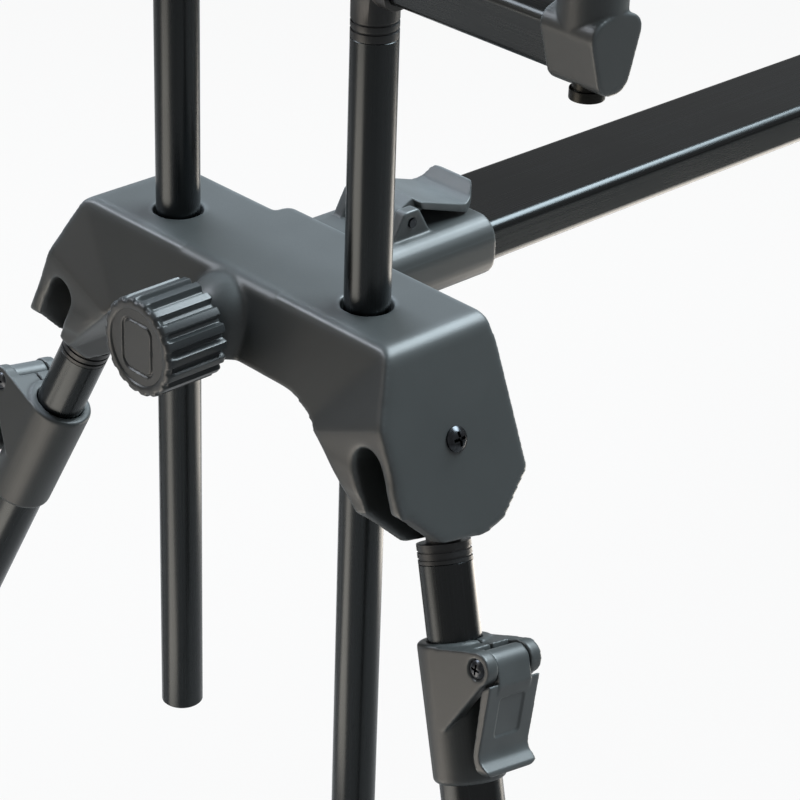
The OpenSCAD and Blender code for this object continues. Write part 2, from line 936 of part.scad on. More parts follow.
// Clamp sleeve on the top of a lower tube, with two cheeks for the lever and a split between them
module lock_body(end, side) {
    color(moulding)
        at_lock(end, side)
            difference() {
                union() {
                    rotate_extrude()
                        polygon(rounded([
                            [0, -lock_end, 0], [lock_r - 0.4, -lock_end, 2],
                            [lock_r, -lock_top, 1.5], [0, -lock_top, 0]
                        ]));
                    for (turn = [0, 1])
                        mirror([0, turn, 0])
                            lock_cheek();
                    along_y(-cheek_out, cheek_out)
                        lock_web();
                }
                translate([0, 0, -far])
                    cylinder(r = leg_d / 2 + 0.2, h = 2 * far);
                translate([0, 0, -lower_top - far])
                    cylinder(r = lower_r + seat_gap, h = far);
                translate([lock_pin_out, 0, -lock_pin_down]) {
                    rod_y(leg_cam_r + swing_gap, -cheek_in, cheek_in);
                    rod_y(lock_pin_r + seat_gap, -far, far);
                    lock_pin_seats();
                }
                translate([0, -lock_split / 2, -lock_top - split_len])
                    cube([far, lock_split, far]);
            }
}

// Counterbores for the heads of the lock screw
module lock_pin_seats() {
    for (turn = [0, 180])
        rotate([0, 0, turn])
            rod_y(lock_pin_r + 1.9, cheek_out - 1.2, far);
}

// Cheek beside the lever's barrel, flat on its outer face
module lock_cheek() {
    drop = lock_pin_down + 26;
    along_y(cheek_in, cheek_out) {
        polygon([
            [0, -lock_top - 1], [lock_pin_out - cheek_r, -lock_top - 1.2],
            [lock_pin_out + 1.5, -lock_pin_down + cheek_r - 0.3],
            [lock_pin_out + 2.5, -lock_pin_down - cheek_r + 0.6], [4, -drop], [0, -drop]
        ]);
        translate([lock_pin_out, -lock_pin_down])
            circle(r = cheek_r);
    }
}

// Web that joins the cheeks in front of the sleeve
module lock_web() {
    front = lock_pin_out - 5;
    drop = lock_pin_down + 12;
    polygon([[0, -lock_top - 1], [front, -lock_top - 1.2], [front, -lock_pin_down], [4, -drop], [0, -drop]]);
}

// Cam lever of a leg lock: a barrel between the cheeks, and a wider plate with a curled tip
module leg_lever(end, side) {
    half = 14;
    tip = 43.8;
    plate = [
        [6.2, -6.2, 0.6], [-5.6, -36.6, 5], [-1.2, -41.6, 0.8], [-1.8, -tip, 0.8],
        [-7.4, -tip + 0.6, 5], [-8.4, -35, 8], [-3.4, -20.5, 12], [0.6, -8.6, 0.6]
    ];
    face = [[-half, -5.8, 0], [half, -5.8, 0], [half, -tip, 4], [-half, -tip, 4]];
    link = [[-2, -5.4], [leg_cam_r, 0], [leg_cam_r, -7.8], [4, -12], [-1, -12]];
    color(moulding)
        at_lock(end, side)
            translate([lock_pin_out, 0, -lock_pin_down])
                difference() {
                    union() {
                        intersection() {
                            along_y(-half, half)
                                polygon(rounded(plate));
                            along_x(-far, far)
                                polygon(rounded(face));
                        }
                        along_y(-cheek_in + swing_gap, cheek_in - swing_gap) {
                            polygon(link);
                            circle(r = leg_cam_r);
                        }
                    }
                    rod_y(lock_pin_r + pin_gap, -far, far);
                }
}

module lock_screw(end, side) {
    head_h = 1.6;
    color(steel)
        at_lock(end, side)
            translate([lock_pin_out, 0, -lock_pin_down])
                difference() {
                    union() {
                        rod_y(lock_pin_r, -cheek_out + 0.3, cheek_out - 0.3);
                        for (turn = [0, 180])
                            rotate([0, 0, turn])
                                rod_y(lock_pin_r + head_h, cheek_out - 1.2, cheek_out + 0.4);
                    }
                    for (turn = [0, 90])
                        translate([0, -cheek_out, 0])
                            rotate([0, turn, 0])
                                cube([lock_pin_r * 1.8, head_h, 0.9], center = true);
                }
}

// Rubber foot with a ball end, worn flat where it stands
module foot(end, side) {
    color(rubber)
        difference() {
            at_leg(end, side)
                difference() {
                    union() {
                        translate([0, 0, -leg_len])
                            sphere(r = foot_r);
                        translate([0, 0, -leg_len])
                            cylinder(r1 = foot_r, r2 = lower_r + 2, h = foot_sleeve);
                    }
                    translate([0, 0, -leg_len + foot_floor])
                        cylinder(r = lower_r + seat_gap, h = far);
                }
            translate([-far * 2, -far * 2, -far])
                cube([far * 4, far * 4, far]);
        }
}

main_bar_tube();
bar_lever_pins();
bar_clamp_shoes();
for (end = ends) {
    bar_collar(end);
    bar_lever(end);
    head_body(end);
    inner_bar(end);
    clamp_yoke(end);
    clamp_insert(end);
    hinge_screws(end);
    knob(end);
    knob_stud(end);
    uprights(end);
    upright_fittings(end);
    buzz_bar(end);
    buzz_mouldings(end);
    buzz_inserts(end);
    for (side = sides) {
        leg = str(end, "_", side);
        leg_plug(end, side);
        upper_tube(end, side);
        lock_body(end, side);
        lower_tube(end, side);
        leg_lever(end, side);
        lock_screw(end, side);
        foot(end, side);
    }
}
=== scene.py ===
import json
import math

import bmesh
import bpy
import numpy as np
from mathutils import Matrix, Vector
from mathutils.bvhtree import BVHTree


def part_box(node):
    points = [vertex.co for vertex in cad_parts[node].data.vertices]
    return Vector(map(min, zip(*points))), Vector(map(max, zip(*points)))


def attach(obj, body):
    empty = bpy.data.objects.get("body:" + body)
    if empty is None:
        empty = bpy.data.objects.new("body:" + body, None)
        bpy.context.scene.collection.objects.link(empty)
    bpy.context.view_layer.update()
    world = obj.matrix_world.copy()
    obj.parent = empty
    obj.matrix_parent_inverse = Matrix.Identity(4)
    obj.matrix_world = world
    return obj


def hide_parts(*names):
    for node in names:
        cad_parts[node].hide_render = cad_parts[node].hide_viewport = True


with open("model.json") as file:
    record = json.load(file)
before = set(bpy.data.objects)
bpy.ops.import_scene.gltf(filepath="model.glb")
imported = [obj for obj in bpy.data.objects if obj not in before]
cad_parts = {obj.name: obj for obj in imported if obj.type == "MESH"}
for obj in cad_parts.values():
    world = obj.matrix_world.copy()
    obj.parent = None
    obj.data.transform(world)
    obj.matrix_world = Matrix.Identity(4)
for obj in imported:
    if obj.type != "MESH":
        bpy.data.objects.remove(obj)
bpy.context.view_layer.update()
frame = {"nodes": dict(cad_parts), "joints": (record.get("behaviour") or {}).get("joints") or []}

# Main bar: a flat oblong aluminium extrusion, sawn to length, deburred and anodised satin black.
# The collars grip its two ends. The die leaves faint straight lines along it.
MM = 0.001
TOUCH = 0.001 * MM
ENDS = ("front", "rear")
SIDES = ("left", "right")
BAR_EDGE = 0.5 * MM
BAR_RUN = (0, 1, 0)


def linear(hex_colour):
    """An sRGB hex value as the linear colour that a socket takes."""
    parts = [int(hex_colour[i:i + 2], 16) / 255 for i in (1, 3, 5)]
    return [p / 12.92 if p <= 0.04045 else ((p + 0.055) / 1.055) ** 2.4 for p in parts] + [1.0]


def add(tree, kind, inputs=None, **settings):
    """A node of any kind with its settings, its fixed values and its links."""
    made = tree.nodes.new(kind)
    for key, value in settings.items():
        setattr(made, key, value)
    for key, value in (inputs or {}).items():
        if isinstance(value, bpy.types.NodeSocket):
            tree.links.new(value, made.inputs[key])
        else:
            made.inputs[key].default_value = value
    return made


def new_finish(name):
    """A material, its tree and its shader."""
    made = bpy.data.materials.new(name)
    made.use_nodes = True
    return made, made.node_tree, made.node_tree.nodes["Principled BSDF"]


def dress(shader, tone, gloss, relief=None):
    """Gives a shader its colour, its roughness and its fine relief."""
    links = shader.id_data.links
    links.new(tone, shader.inputs["Base Color"])
    links.new(gloss, shader.inputs["Roughness"])
    if relief:
        links.new(relief, shader.inputs["Normal"])


def joined_copy(node):
    """A CAD node's triangles joined to one skin, as a bmesh."""
    work = bmesh.new()
    work.from_mesh(frame["nodes"][node].data)
    bmesh.ops.remove_doubles(work, verts=work.verts, dist=TOUCH)
    return work


def to_mesh(work, name):
    """A plain mesh from a bmesh, without the normals and maps that came with the frame."""
    mesh = bpy.data.meshes.new(name)
    work.to_mesh(mesh)
    work.free()
    for layer in ("custom_normal", "UVMap"):
        if layer in mesh.attributes:
            mesh.attributes.remove(mesh.attributes[layer])
    return mesh


def shade(mesh, degrees=32):
    """Curves smooth, real edges sharp."""
    mesh.shade_smooth()
    mesh.set_sharp_from_angle(angle=math.radians(degrees))
    return mesh


def baked(host):
    """The evaluated mesh of a working object, which then goes with its modifiers."""
    graph = bpy.context.evaluated_depsgraph_get()
    mesh = bpy.data.meshes.new_from_object(
        host.evaluated_get(graph), preserve_all_data_layers=True, depsgraph=graph)
    start = host.data
    bpy.data.objects.remove(host)
    bpy.data.meshes.remove(start)
    return mesh


def firm(mesh):
    """Keeps flat faces flat to the eye beside their rounded edges."""
    host = bpy.data.objects.new(mesh.name, mesh)
    bpy.context.scene.collection.objects.link(host)
    flats = host.modifiers.new("flats", "WEIGHTED_NORMAL")
    flats.keep_sharp = True
    return baked(host)


def broken_edges(node, name, width, segments=2, degrees=40):
    """A CAD node with its sharp edges broken, as a tumbled or deburred piece has."""
    work = joined_copy(node)
    bmesh.ops.dissolve_limit(
        work, angle_limit=math.radians(0.5), verts=work.verts, edges=work.edges, delimit={"NORMAL"})
    sharp = [e for e in work.edges if e.is_manifold and e.calc_face_angle() > math.radians(degrees)]
    bmesh.ops.bevel(
        work, geom=sharp, offset=width, segments=segments, profile=0.5, affect="EDGES", clamp_overlap=True)
    return firm(shade(to_mesh(work, name)))


def read_points(mesh):
    """The corners of a mesh as rows of numbers."""
    points = np.zeros(len(mesh.vertices) * 3)
    mesh.vertices.foreach_get("co", points)
    return points.reshape(-1, 3)


def mark_grain(mesh, run):
    """Stores each point's place across and along a drawn or extruded piece, for its die lines."""
    off_axis = (0.3, 0.5, 0.81)
    run = np.array(Vector(run).normalized())
    across = np.cross(run, off_axis)
    across /= np.linalg.norm(across)
    points = read_points(mesh)
    local = np.stack([points @ across, points @ np.cross(run, across), points @ run], axis=1)
    layer = mesh.attributes.new("grain", "FLOAT_VECTOR", "POINT")
    layer.data.foreach_set("vector", local.astype(np.float32).ravel())
    return mesh


def fit(name, mesh, body, slot, finish, *nodes):
    """A finished piece: it rides on its body and stands for its CAD nodes."""
    mesh.materials.clear()
    mesh.materials.append(finish)
    made = bpy.data.objects.new(name, mesh)
    bpy.context.scene.collection.objects.link(made)
    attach(made, body)
    if nodes:
        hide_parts(*nodes)
    return made


# Black anodised aluminium, satin: a dyed oxide skin over drawn metal, so it is nearly black
# face on and shows long soft highlights. The die lines, really about 0.2 mm apart, are drawn
# 0.9 mm apart so that they show.
anodised, tree, shader = new_finish("black_anodised_aluminium_satin")
grain = add(tree, "ShaderNodeAttribute", attribute_name="grain")
stretched = add(tree, "ShaderNodeVectorMath", {
    0: grain.outputs["Vector"], 1: (1 / (0.9 * MM), 1 / (0.9 * MM), 1 / (180 * MM))}, operation="MULTIPLY")
die_lines = add(tree, "ShaderNodeTexNoise", {"Vector": stretched.outputs[0], "Scale": 1.0, "Detail": 2.0})
place = add(tree, "ShaderNodeTexCoord")
handling = add(tree, "ShaderNodeTexNoise", {
    "Vector": place.outputs["Object"], "Scale": 1 / (35 * MM), "Detail": 3.0})
blend = add(tree, "ShaderNodeMath", {
    0: die_lines.outputs["Fac"], 1: handling.outputs["Fac"]}, operation="ADD")
tone = add(tree, "ShaderNodeMix", {
    0: die_lines.outputs["Fac"], 6: linear("#393b3c"), 7: linear("#414344")}, data_type="RGBA")
gloss = add(tree, "ShaderNodeMapRange", {
    "Value": blend.outputs[0], "From Min": 0.6, "From Max": 1.4, "To Min": 0.23, "To Max": 0.3})
relief = add(tree, "ShaderNodeBump", {
    "Height": die_lines.outputs["Fac"], "Strength": 0.015, "Distance": 0.02 * MM})
dress(shader, tone.outputs[2], gloss.outputs[0], relief.outputs[0])
shader.inputs["Metallic"].default_value = 1.0

mesh = mark_grain(broken_edges("main_bar_tube", "main_bar", BAR_EDGE), BAR_RUN)
fit("main_bar", mesh, "main_bar", "anodised_tube", anodised, "main_bar_tube")
for end in ENDS:
    mesh = mark_grain(broken_edges(f"{end}_inner_bar", f"{end}_slide_bar", BAR_EDGE), BAR_RUN)
    fit(f"{end}_slide_bar", mesh, f"{end}_head", "anodised_tube", anodised, f"{end}_inner_bar")

# Collars: moulded clamps on the two ends of the main bar, with two ears for the lever's pin.
# Glass-filled nylon, injection moulded, so every edge is a little round.
COLLAR_SKIN = 0.7 * MM
COLLAR_PASSES = 7


def relax(points, pairs, passes, share=1.0):
    """Moves points towards the mean of their neighbours, which rounds the edges of a skin."""
    count = np.bincount(pairs.ravel(), minlength=len(points))[:, None]
    for _ in range(passes):
        total = np.stack([
            np.bincount(pairs[:, 0], points[pairs[:, 1], axis], len(points))
            + np.bincount(pairs[:, 1], points[pairs[:, 0], axis], len(points)) for axis in range(3)], axis=1)
        points = points + 0.5 * share * (total / count - points)
    return points


def read_normals(mesh):
    """The direction that each corner of a mesh faces."""
    normals = np.zeros(len(mesh.vertices) * 3, np.float32)
    mesh.vertex_normals.foreach_get("vector", normals)
    return normals.reshape(-1, 3)


def write_points(mesh, points):
    """Moves the corners of a mesh."""
    mesh.vertices.foreach_set("co", points.astype(np.float32).ravel())
    mesh.update()


def moulded(node, name, skin, passes, rounder=(), handling_and_highlight=0.0):
    """A CAD node as it comes out of a mould: one skin, laid on the solid, whose edges are round and carry
    a share that paints them lighter, partly as wear and partly as a painted highlight.
    rounder holds pairs of a share for each point and the extra passes that it gets,
    and the last argument is how far fingers have polished it all over, which paints that lighter tone
    all over it too."""
    grid_fill = 0.99
    full_wear_and_highlight = 0.35 * skin
    work = joined_copy(node)
    solid = BVHTree.FromBMesh(work)
    host = bpy.data.objects.new(name, to_mesh(work, name))
    bpy.context.scene.collection.objects.link(host)
    remesh = host.modifiers.new("skin", "REMESH")
    remesh.mode = "SHARP"
    longest = max(host.dimensions)
    remesh.octree_depth = math.ceil(math.log2(longest / (grid_fill * skin)))
    remesh.scale = longest / (skin * 2 ** remesh.octree_depth)
    remesh.use_remove_disconnected = False
    mesh = baked(host)
    pairs = np.zeros(len(mesh.edges) * 2, np.int32)
    mesh.edges.foreach_get("vertices", pairs)
    pairs = pairs.reshape(-1, 2)
    start = np.array([solid.find_nearest(point)[0] for point in read_points(mesh)])
    points = relax(start, pairs, passes)
    write_points(mesh, points)
    mesh.shade_smooth()
    # How far each point sank as its edge rounded: the shader paints such edges lighter, partly as wear and
    # partly as a painted highlight, with the given all-over share as the least.
    lifted = np.einsum("ij,ij->i", start - points, read_normals(mesh)) / full_wear_and_highlight
    edge = mesh.attributes.new("edge", "FLOAT", "POINT")
    edge.data.foreach_set("value", np.clip(lifted, handling_and_highlight, 1).astype(np.float32))
    for share, extra in rounder:
        points = relax(points, pairs, extra, share(points)[:, None])
    write_points(mesh, points)
    return mesh


# Moulded glass-filled nylon, charcoal: satin, with the fine spark-eroded grain of the mould and
# edges painted lighter, partly as handling wear and partly as a painted highlight. The grain,
# really about 0.1 mm, is drawn at 0.6 mm.
nylon, tree, shader = new_finish("moulded_glass_filled_nylon_charcoal")
place = add(tree, "ShaderNodeTexCoord")
grit = add(tree, "ShaderNodeTexNoise", {
    "Vector": place.outputs["Object"], "Scale": 1 / (0.6 * MM), "Detail": 3.0, "Roughness": 0.6})
flow = add(tree, "ShaderNodeTexNoise", {
    "Vector": place.outputs["Object"], "Scale": 1 / (22 * MM), "Detail": 3.0})
# Edges are painted lighter from this share, partly as handling wear and partly as a painted highlight; the
# same share also makes them glossier.
wear_and_highlight_share = add(tree, "ShaderNodeAttribute", attribute_name="edge")
wear_and_highlight = add(tree, "ShaderNodeMath", {0: wear_and_highlight_share.outputs["Fac"], 1: flow.outputs["Fac"]}, operation="MULTIPLY")
body_tone = add(tree, "ShaderNodeMix", {
    0: flow.outputs["Fac"], 6: linear("#3a3d3d"), 7: linear("#424545")}, data_type="RGBA")
wear_and_highlight_tone = add(tree, "ShaderNodeMix", {
    0: wear_and_highlight.outputs[0], 6: body_tone.outputs[2], 7: linear("#666b6c")}, data_type="RGBA")
grain_gloss = add(tree, "ShaderNodeMapRange", {"Value": grit.outputs["Fac"], "To Min": 0.35, "To Max": 0.49})
gloss = add(tree, "ShaderNodeMath", {
    0: wear_and_highlight.outputs[0], 1: -0.2, 2: grain_gloss.outputs[0]}, operation="MULTIPLY_ADD")
relief = add(tree, "ShaderNodeBump", {"Height": grit.outputs["Fac"], "Strength": 0.3, "Distance": 0.08 * MM})
dress(shader, wear_and_highlight_tone.outputs[2], gloss.outputs[0], relief.outputs[0])
shader.inputs["IOR"].default_value = 1.53

for end in ENDS:
    mesh = moulded(f"{end}_bar_collar", f"{end}_collar", COLLAR_SKIN, COLLAR_PASSES)
    fit(f"{end}_collar", mesh, "main_bar", "moulded_nylon", nylon, f"{end}_bar_collar")

# Bar levers: moulded cam levers that lock the slide bars, each with a barrel between the ears
# and a thin plate that curls up at its tip for the thumb.
LEVER_SKIN = 0.45 * MM
LEVER_PASSES = 6
# Least share of lighter tone over the whole of each lever: partly thumb wear, partly a painted highlight.
LEVER_WEAR_AND_HIGHLIGHT = 0.45
for end in ENDS:
    mesh = moulded(
        f"{end}_bar_lever", f"{end}_bar_clamp_lever", LEVER_SKIN, LEVER_PASSES, handling_and_highlight=LEVER_WEAR_AND_HIGHLIGHT)
    fit(f"{end}_bar_clamp_lever", mesh, f"{end}_bar_lever", "moulded_nylon", nylon, f"{end}_bar_lever")

# Heads: the two large mouldings that carry everything, with an arch below, a boss for the knob and
# a slotted housing for each leg hinge. The end plates run into the front in wide curves.
HEAD_SKIN = 1.05 * MM
HEAD_PASSES = 7
BOSS_BLEND = 2
CORNER_BLEND = 16


def ramp(values, start, stop):
    """0 at start and 1 at stop, in millimetres, straight between them."""
    return np.clip((values / MM - start) / (stop - start), 0, 1)


def on_head(points, end):
    """Places on a head: across from its middle, out of its front and down from its top."""
    low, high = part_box(f"{end}_uprights")
    outward = -1 if end == "front" else 1
    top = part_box(f"{end}_head_body")[1].z
    return np.abs(points[:, 0]), (points[:, 1] - (low.y + high.y) / 2) * outward, top - points[:, 2]


def boss_share(points, end):
    """Where the boss runs into the front of a head."""
    across, out, down = on_head(points, end)
    on_boss = ramp(across, 33, 26) * ramp(out, 14, 20) * ramp(out, 38.5, 35)
    return on_boss * ramp(down, 2, 5) * ramp(down, 36, 31)


def corner_share(points, end):
    """Where the front of a head runs into its end plates."""
    across, out, down = on_head(points, end)
    return ramp(across, 62, 74) * ramp(out, 12, 18) * ramp(down, 0, 7) * ramp(down, 62, 48)


for end in ENDS:
    mesh = moulded(f"{end}_head_body", f"{end}_head_moulding", HEAD_SKIN, HEAD_PASSES, [
        (lambda points: boss_share(points, end), BOSS_BLEND),
        (lambda points: corner_share(points, end), CORNER_BLEND)])
    fit(f"{end}_head_moulding", mesh, f"{end}_head", "moulded_nylon", nylon, f"{end}_head_body")

# Hinge screws: cross-head screws with domed heads, pushed through the end plates and the leg plugs
# into hexagon nuts that sit in pockets inside the housings. Cold-headed steel, blackened.
HINGE_SEAT = 14.65 * MM
HINGE_SHANK = 33.9 * MM
HINGE_SCREW = {
    "Head Radius": 5.2 * MM, "Head Height": 2.6 * MM, "Shank Radius": 2.5 * MM, "Shank Length": HINGE_SHANK,
    "Recess Length": 6.0 * MM, "Recess Width": 1.3 * MM, "Recess Depth": 1.6 * MM,
    "Nut Radius": 4.6 * MM, "Nut Height": 4.0 * MM, "Nut Distance": HINGE_SHANK - 2.0 * MM}
DOME_POWER = 3.0
DOME_FALL = -0.72
SHANK_ROOT = 0.3 * MM
SCREW_CREASE = 25
joints = {joint["name"]: joint for joint in frame["joints"]}


def new_sizes(name, lengths):
    """A geometry tree with a mesh and a material going in, named lengths, and a mesh coming out."""
    tree = bpy.data.node_groups.new(name, "GeometryNodeTree")
    tree.interface.new_socket("Geometry", in_out="INPUT", socket_type="NodeSocketGeometry")
    tree.interface.new_socket("Finish", in_out="INPUT", socket_type="NodeSocketMaterial")
    for length in lengths:
        tree.interface.new_socket(length, in_out="INPUT", socket_type="NodeSocketFloat")
    tree.interface.new_socket("Geometry", in_out="OUTPUT", socket_type="NodeSocketGeometry")
    return tree, add(tree, "NodeGroupInput").outputs


def close_tree(tree, geometry, finish):
    """Ends a geometry tree: copies become real and take their finish."""
    real = add(tree, "GeometryNodeRealizeInstances", {"Geometry": geometry})
    dressed = add(tree, "GeometryNodeSetMaterial", {"Geometry": real.outputs[0], "Material": finish})
    add(tree, "NodeGroupOutput", {"Geometry": dressed.outputs[0]})


def run_tree(tree, mesh, finish, sizes):
    """What a geometry tree makes of a mesh, as a plain mesh."""
    host = bpy.data.objects.new(mesh.name, mesh)
    bpy.context.scene.collection.objects.link(host)
    modifier = host.modifiers.new(tree.name, "NODES")
    modifier.node_group = tree
    given = dict(sizes, Finish=finish)
    for item in tree.interface.items_tree:
        if item.in_out == "INPUT" and item.name in given:
            modifier[item.identifier] = given[item.name]
    return baked(host)


def seats(name, places, axes):
    """Bare points, each with the axis of what is set there."""
    mesh = bpy.data.meshes.new(name)
    mesh.from_pydata([tuple(place) for place in places], [], [])
    layer = mesh.attributes.new("axis", "FLOAT_VECTOR", "POINT")
    layer.data.foreach_set("vector", [value for axis in axes for value in axis])
    return mesh


screw_tree, sizes = new_sizes("cross_head_screws", list(HINGE_SCREW))
blank = add(screw_tree, "GeometryNodeMeshCylinder", {
    "Vertices": 40, "Side Segments": 3, "Fill Segments": 8,
    "Radius": sizes["Head Radius"], "Depth": sizes["Head Height"]})
half = add(screw_tree, "ShaderNodeMath", {0: sizes["Head Height"], 1: 0.5}, operation="MULTIPLY")
lift = add(screw_tree, "ShaderNodeCombineXYZ", {"Z": half.outputs[0]})
raised = add(screw_tree, "GeometryNodeTransform", {
    "Geometry": blank.outputs["Mesh"], "Translation": lift.outputs[0]})
spot = add(screw_tree, "GeometryNodeInputPosition")
spot_parts = add(screw_tree, "ShaderNodeSeparateXYZ", {0: spot.outputs[0]})
flat_spot = add(screw_tree, "ShaderNodeVectorMath", {0: spot.outputs[0], 1: (1, 1, 0)}, operation="MULTIPLY")
reach = add(screw_tree, "ShaderNodeVectorMath", {0: flat_spot.outputs[0]}, operation="LENGTH")
share = add(screw_tree, "ShaderNodeMath", {
    0: reach.outputs["Value"], 1: sizes["Head Radius"]}, operation="DIVIDE")
steep = add(screw_tree, "ShaderNodeMath", {0: share.outputs[0], 1: DOME_POWER}, operation="POWER")
fall = add(screw_tree, "ShaderNodeMath", {0: steep.outputs[0], 1: DOME_FALL}, operation="MULTIPLY")
drop = add(screw_tree, "ShaderNodeMath", {
    0: fall.outputs[0], 1: spot_parts.outputs["Z"]}, operation="MULTIPLY")
sink = add(screw_tree, "ShaderNodeCombineXYZ", {"Z": drop.outputs[0]})
domed = add(screw_tree, "GeometryNodeSetPosition", {"Geometry": raised.outputs[0], "Offset": sink.outputs[0]})
shank = add(screw_tree, "GeometryNodeMeshCylinder", {
    "Vertices": 32, "Radius": sizes["Shank Radius"], "Depth": sizes["Shank Length"]})
shank_drop = add(screw_tree, "ShaderNodeMath", {
    0: sizes["Shank Length"], 1: -0.5, 2: SHANK_ROOT}, operation="MULTIPLY_ADD")
shank_move = add(screw_tree, "ShaderNodeCombineXYZ", {"Z": shank_drop.outputs[0]})
shank_low = add(screw_tree, "GeometryNodeTransform", {
    "Geometry": shank.outputs["Mesh"], "Translation": shank_move.outputs[0]})
nut = add(screw_tree, "GeometryNodeMeshCylinder", {
    "Vertices": 6, "Radius": sizes["Nut Radius"], "Depth": sizes["Nut Height"]})
nut_drop = add(screw_tree, "ShaderNodeMath", {0: sizes["Nut Distance"], 1: -1.0}, operation="MULTIPLY")
nut_move = add(screw_tree, "ShaderNodeCombineXYZ", {"Z": nut_drop.outputs[0]})
nut_low = add(screw_tree, "GeometryNodeTransform", {
    "Geometry": nut.outputs["Mesh"], "Translation": nut_move.outputs[0]})
solid = add(screw_tree, "GeometryNodeMeshBoolean", {"Mesh 2": domed.outputs[0]}, operation="UNION")
screw_tree.links.new(shank_low.outputs[0], solid.inputs["Mesh 2"])
screw_tree.links.new(nut_low.outputs[0], solid.inputs["Mesh 2"])
deep = add(screw_tree, "ShaderNodeMath", {0: sizes["Recess Depth"], 1: 2.0}, operation="MULTIPLY")
bar_one = add(screw_tree, "ShaderNodeCombineXYZ", {
    "X": sizes["Recess Length"], "Y": sizes["Recess Width"], "Z": deep.outputs[0]})
bar_two = add(screw_tree, "ShaderNodeCombineXYZ", {
    "X": sizes["Recess Width"], "Y": sizes["Recess Length"], "Z": deep.outputs[0]})
blade_one = add(screw_tree, "GeometryNodeMeshCube", {"Size": bar_one.outputs[0]})
blade_two = add(screw_tree, "GeometryNodeMeshCube", {"Size": bar_two.outputs[0]})
cross = add(screw_tree, "GeometryNodeMeshBoolean", {"Mesh 2": blade_one.outputs["Mesh"]}, operation="UNION")
screw_tree.links.new(blade_two.outputs["Mesh"], cross.inputs["Mesh 2"])
cross_move = add(screw_tree, "ShaderNodeCombineXYZ", {"Z": sizes["Head Height"]})
cross_high = add(screw_tree, "GeometryNodeTransform", {
    "Geometry": cross.outputs["Mesh"], "Translation": cross_move.outputs[0]})
driven = add(screw_tree, "GeometryNodeMeshBoolean", {
    "Mesh 1": solid.outputs["Mesh"], "Mesh 2": cross_high.outputs[0]}, operation="DIFFERENCE")
axis_read = add(screw_tree, "GeometryNodeInputNamedAttribute", {"Name": "axis"}, data_type="FLOAT_VECTOR")
facing = add(screw_tree, "FunctionNodeAlignRotationToVector", {
    "Vector": axis_read.outputs["Attribute"]}, axis="Z")
copies = add(screw_tree, "GeometryNodeInstanceOnPoints", {
    "Points": sizes["Geometry"], "Instance": driven.outputs["Mesh"], "Rotation": facing.outputs["Rotation"]})
close_tree(screw_tree, copies.outputs["Instances"], sizes["Finish"])

# Blackened steel: cold-headed and oil-blacked, so it is a dark metal with sharp small highlights
# and faint lighter marks about 1.5 mm across where the black has rubbed.
black_steel, tree, shader = new_finish("blackened_steel_oiled")
place = add(tree, "ShaderNodeTexCoord")
marks = add(tree, "ShaderNodeTexNoise", {
    "Vector": place.outputs["Object"], "Scale": 1 / (1.5 * MM), "Detail": 4.0})
tone = add(tree, "ShaderNodeMix", {
    0: marks.outputs["Fac"], 6: linear("#26272a"), 7: linear("#55585c")}, data_type="RGBA")
gloss = add(tree, "ShaderNodeMapRange", {"Value": marks.outputs["Fac"], "To Min": 0.16, "To Max": 0.34})
dress(shader, tone.outputs[2], gloss.outputs[0])
shader.inputs["Metallic"].default_value = 1.0


def plate_axis(leg):
    """The direction square out of the end plate beside a leg."""
    hinge = joints[f"{leg}_leg_fold"]
    axis = Vector(hinge["axis"])
    return axis if axis.x * hinge["pos_m"][0] > 0 else -axis


for end in ENDS:
    axes = [plate_axis(f"{end}_{side}") for side in SIDES]
    hinges = [Vector(joints[f"{end}_{side}_leg_fold"]["pos_m"]) for side in SIDES]
    places = [hinge + axis * HINGE_SEAT for hinge, axis in zip(hinges, axes)]
    mesh = run_tree(screw_tree, seats(f"{end}_hinge_seats", places, axes), black_steel, HINGE_SCREW)
    shade(mesh, SCREW_CREASE)
    fit(f"{end}_leg_screws", mesh, f"{end}_head", "black_steel", black_steel, f"{end}_hinge_screws")

# Clamp parts inside the head: a brass bush in the boss, a steel yoke across both uprights, the knob's
# stud, and the collars' pins and shoes. Only their ends show, so their solids stay and get a finish.

# Blackened brass: turned and dipped, so it is a warm dark metal whose turning marks, really about
# 0.1 mm wide, are drawn at 0.8 mm.
brass, tree, shader = new_finish("blackened_brass_turned")
place = add(tree, "ShaderNodeTexCoord")
turning = add(tree, "ShaderNodeTexNoise", {
    "Vector": place.outputs["Object"], "Scale": 1 / (0.8 * MM), "Detail": 3.0})
tone = add(tree, "ShaderNodeMix", {
    0: turning.outputs["Fac"], 6: linear("#232321"), 7: linear("#393835")}, data_type="RGBA")
gloss = add(tree, "ShaderNodeMapRange", {"Value": turning.outputs["Fac"], "To Min": 0.24, "To Max": 0.42})
dress(shader, tone.outputs[2], gloss.outputs[0])
shader.inputs["Metallic"].default_value = 1.0

INNER_METAL = {"bar_lever_pins": black_steel, "bar_clamp_shoes": black_steel}
for end in ENDS:
    INNER_METAL[f"{end}_clamp_insert"] = brass
    INNER_METAL[f"{end}_clamp_yoke"] = black_steel
    INNER_METAL[f"{end}_knob_stud"] = black_steel
for node, metal in INNER_METAL.items():
    frame["nodes"][node].data.materials.clear()
    frame["nodes"][node].data.materials.append(metal)

